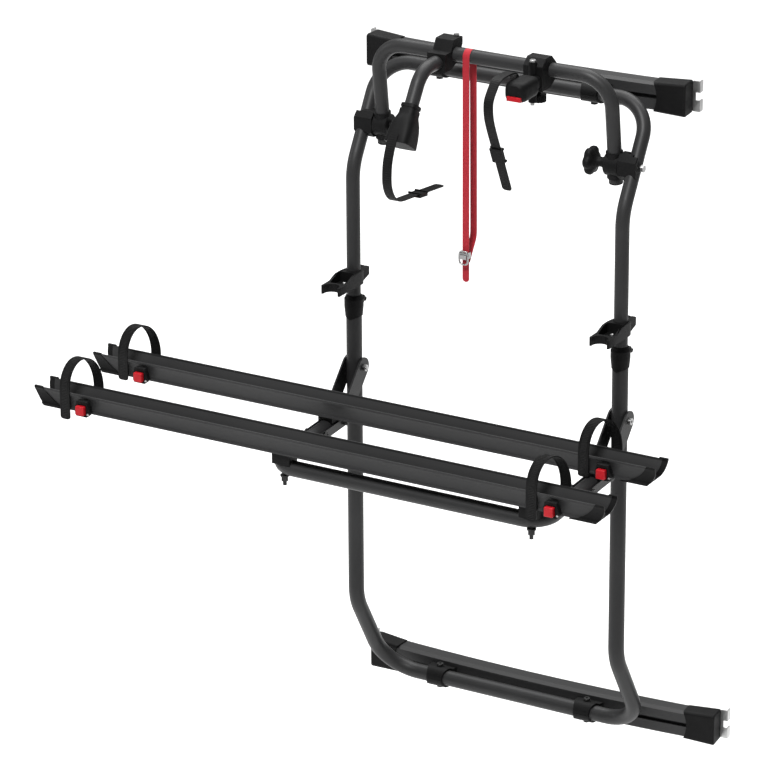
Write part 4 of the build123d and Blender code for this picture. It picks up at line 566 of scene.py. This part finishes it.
work = bmesh.new()
for side, x in (("left", -upright_x), ("right", upright_x)):
    catch(f"platform_catch_{side}_fork", x)
    for y in catch_screw_y:
        head = bmesh.ops.create_cone(work, cap_ends=True, segments=32, radius1=catch_head_base,
                                     radius2=catch_head_face, depth=catch_head_height)["verts"]
        bmesh.ops.translate(work, vec=(x, y, fork_base_z + pocket_floor + catch_head_height / 2), verts=head)
        lid = [f for v in head for f in v.link_faces if f.normal.z > 0.9][:1]
        bmesh.ops.inset_region(work, faces=lid, thickness=socket_rim)
        bmesh.ops.translate(work, vec=(0, 0, -socket_depth), verts=lid[0].verts)
heads = make_piece("catch_screw_heads", work, steel, "upper_frame", "catch_screws")


# Long arm's jaw: a nylon bell on the end of the bent tube, with a stepped sleeve round the tube.
# It is grown ring by ring from the sleeve to its mouth: each ring has its distance along the arm, half sizes
# and squareness.
long_arm_x, long_arm_slope = -0.100, math.radians(57.0)
arm_corner_forward, arm_corner_drop = 0.100, 0.009
bell_rings = [
    (0.0700, 0.0152, 0.0152, 2.0), (0.0700, 0.0165, 0.0165, 3.0), (0.0708, 0.0174, 0.0174, 3.6),
    (0.0770, 0.0174, 0.0174, 3.6), (0.0776, 0.0164, 0.0164, 3.0), (0.0806, 0.0164, 0.0164, 3.0),
    (0.0812, 0.0176, 0.0176, 3.6), (0.0900, 0.0176, 0.0178, 3.6), (0.0935, 0.0182, 0.0190, 3.4),
    (0.1000, 0.0205, 0.0222, 3.2), (0.1080, 0.0228, 0.0248, 3.4), (0.1180, 0.0243, 0.0264, 3.8),
    (0.1320, 0.0254, 0.0280, 4.4), (0.1500, 0.0260, 0.0290, 5.0), (0.1520, 0.0256, 0.0286, 5.0)]


def angled_ring(work, segments, filled=True):
    """A unit circle whose verts remember their angle; gives the verts and that layer."""
    layer = work.verts.layers.float.get("angle") or work.verts.layers.float.new("angle")
    verts = bmesh.ops.create_circle(work, cap_ends=filled, segments=segments, radius=1.0)["verts"]
    for vert in verts:
        vert[layer] = math.atan2(vert.co.y, vert.co.x)
    return verts, layer


def superellipse(verts, layer, place, half_x, half_a, square):
    """Puts a ring of verts on a rounded rectangle; place gives the point for the two distances from its middle."""
    for vert in verts:
        angle = vert[layer]
        c, s = math.cos(angle), math.sin(angle)
        reach = (abs(c) ** square + abs(s) ** square) ** (-1 / square)
        vert.co = place(half_x * reach * c, half_a * reach * s)


def grow_face(work, face, keep):
    """Extrudes the last face and gives the new one; the old one goes unless it closes the start."""
    grown = bmesh.ops.extrude_face_region(work, geom=[face])["geom"]
    if face.is_valid and not keep:
        bmesh.ops.delete(work, geom=[face], context="FACES_ONLY")
    return [g for g in grown if isinstance(g, bmesh.types.BMFace)][0]


def grown_jaw(name, body, stands_for, rings, segments, place):
    """A jaw grown through its rings; place gives the point for the distances across and along."""
    work = bmesh.new()
    verts, layer = angled_ring(work, segments)
    face = work.faces[:][0]
    superellipse(verts, layer, lambda x, a: place(x, a, rings[0][0]), *rings[0][1:])
    for along, half_x, half_a, square in rings[1:]:
        face = grow_face(work, face, keep=along == rings[1][0])
        superellipse(face.verts, layer, lambda x, a: place(x, a, along), half_x, half_a, square)
    jaw = make_piece(name, work, nylon, body, stands_for, smooth=40)


def long_arm_place(x, aside, along):
    """A point beyond the bent arm's corner."""
    forward = arm_corner_forward + math.cos(long_arm_slope) * along + math.sin(long_arm_slope) * aside
    drop = arm_corner_drop + math.sin(long_arm_slope) * along - math.cos(long_arm_slope) * aside
    return Vector((long_arm_x + x, bar_y - forward, bar_z - drop))


grown_jaw("long_jaw_bell", "long_arm", "long_arm_jaw", bell_rings, 72, long_arm_place)


# Short arm's jaw: a pillow-shaped nylon moulding in front of its column, with the strap coming out
# of its top and the red button low on its face.
short_jaw_x, short_jaw_z = 0.115, 1.365
pillow_rings = [
    (-0.1900, 0.0125, 0.0125, 3.5), (-0.2060, 0.0135, 0.0135, 3.5), (-0.2090, 0.0170, 0.0165, 3.5),
    (-0.2130, 0.0205, 0.0188, 3.6), (-0.2200, 0.0218, 0.0198, 3.8), (-0.2580, 0.0222, 0.0202, 4.0),
    (-0.2660, 0.0216, 0.0197, 3.8), (-0.2725, 0.0196, 0.0180, 3.4), (-0.2765, 0.0158, 0.0145, 3.0)]
grown_jaw("short_jaw_pillow", "short_arm", "short_arm_jaw", pillow_rings, 64,
          lambda x, z, y: Vector((short_jaw_x + x, y, short_jaw_z + z)))


# Cam buckle: a bright frame bent to a rounded ring with two cheeks, and the cam with its thumb plate
# on a pin between them. The webbing shows through the lower half of the ring.
buckle_z, buckle_front_y, ring_depth = 0.9750, -0.1745, 0.0030
ring_outside, ring_inside = (0.0110, 0.0150), (0.0080, 0.0121)
cheek_size, cheek_x, cheek_y, cheek_rise = (0.0014, 0.0110, 0.0130), 0.0101, -0.1680, 0.0050
back_size, back_y = (0.0216, 0.0014, 0.0100), -0.1622
pin_y, pin_z, pin_r, pin_length = -0.1710, 0.9810, 0.0015, 0.0232
cam_r, cam_width = 0.0050, 0.0150
thumb_size, thumb_y, thumb_z = (0.0150, 0.0018, 0.0090), -0.1750, 0.9765


def crossways_rod(work, radius, length, place):
    """A round rod along X."""
    verts = bmesh.ops.create_cone(work, cap_ends=True, segments=32, radius1=radius, radius2=radius,
                                  depth=length)["verts"]
    bmesh.ops.rotate(work, verts=verts, cent=(0, 0, 0), matrix=Matrix.Rotation(math.pi / 2, 3, "Y"))
    bmesh.ops.translate(work, vec=place, verts=verts)


work = bmesh.new()
edges = []
for half_x, half_z in (ring_outside, ring_inside):
    ring, layer = angled_ring(work, 48, filled=False)
    superellipse(ring, layer, lambda x, z: Vector((webbing_x + x, buckle_front_y, buckle_z + z)), half_x, half_z, 3.5)
    edges += list({edge for vert in ring for edge in vert.link_edges})
faces = bmesh.ops.bridge_loops(work, edges=edges)["faces"]
grown = bmesh.ops.extrude_face_region(work, geom=faces)["geom"]
bmesh.ops.translate(work, vec=(0, ring_depth, 0), verts=[g for g in grown if isinstance(g, bmesh.types.BMVert)])
for side in (-1, 1):
    block(work, cheek_size, (webbing_x + side * cheek_x, cheek_y, buckle_z + cheek_rise))
block(work, back_size, (webbing_x, back_y, buckle_z + cheek_rise))
crossways_rod(work, pin_r, pin_length, (webbing_x, pin_y, pin_z))
buckle = make_piece("cam_buckle_ring", work, steel, "security_strap", "cam_buckle_frame")
round_edges(buckle, 0.0006, 2)
work = bmesh.new()
crossways_rod(work, cam_r, cam_width, (webbing_x, pin_y, pin_z))
block(work, thumb_size, (webbing_x, thumb_y, thumb_z))
cam = make_piece("cam_buckle_cam", work, steel, "cam_lever", "cam_buckle_lever")
round_edges(cam, 0.0006, 2)


# Star knobs: moulded hand knobs with six rounded lobes, a hollow face and a ribbed neck, on the hinge bolts.
# Each is grown ring by ring along the hinge's axis from its hollow face to the end of its neck: distance from
# the middle of the carrier, radius and share of the lobes.
hinge_y, hinge_z = -0.126026, 1.204
knob_rings = [
    (0.1995, 0.0100, 0.0), (0.1985, 0.0130, 0.2), (0.1965, 0.0175, 0.6), (0.1972, 0.0220, 1.0),
    (0.1995, 0.0248, 1.0), (0.2035, 0.0262, 1.0), (0.2085, 0.0262, 1.0), (0.2115, 0.0245, 1.0),
    (0.2135, 0.0208, 0.8), (0.2160, 0.0165, 0.4), (0.2190, 0.0128, 0.1), (0.2230, 0.0100, 0.0),
    (0.2290, 0.0093, 0.0), (0.2294, 0.0103, 0.0), (0.2350, 0.0103, 0.0), (0.2354, 0.0093, 0.0),
    (0.2387, 0.0093, 0.0)]
knob_lobes, lobe_height, lobe_squareness, lobe_swell = 6, 0.075, 0.012, 0.03


def lobed_ring(verts, along, size, lobes):
    """Puts a ring of verts across X at a distance, as a circle that swells into lobes."""
    for vert in verts:
        angle = math.atan2(vert.co.z, vert.co.y)
        wave = lobe_height * math.cos(knob_lobes * angle) - lobe_squareness * math.cos(2 * knob_lobes * angle)
        reach = size * (1 + lobes * (wave + lobe_swell))
        vert.co = (along, reach * math.cos(angle), reach * math.sin(angle))


for side, towards in (("left", -1), ("right", 1)):
    work = bmesh.new()
    ring = bmesh.ops.create_circle(work, cap_ends=True, segments=96, radius=1.0)["verts"]
    bmesh.ops.rotate(work, verts=ring, cent=(0, 0, 0), matrix=Matrix.Rotation(math.pi / 2, 3, "Y"))
    face = work.faces[:][0]
    for i, (along, size, lobes) in enumerate(knob_rings):
        if i > 0:
            face = grow_face(work, face, keep=i == 1)
        lobed_ring(face.verts, towards * along, size, lobes)
    bmesh.ops.translate(work, vec=(0, hinge_y, hinge_z), verts=work.verts)
    knob = make_piece(f"star_knob_{side}_grip", work, nylon, f"star_knob_{side}", f"star_knob_{side}", smooth=50)
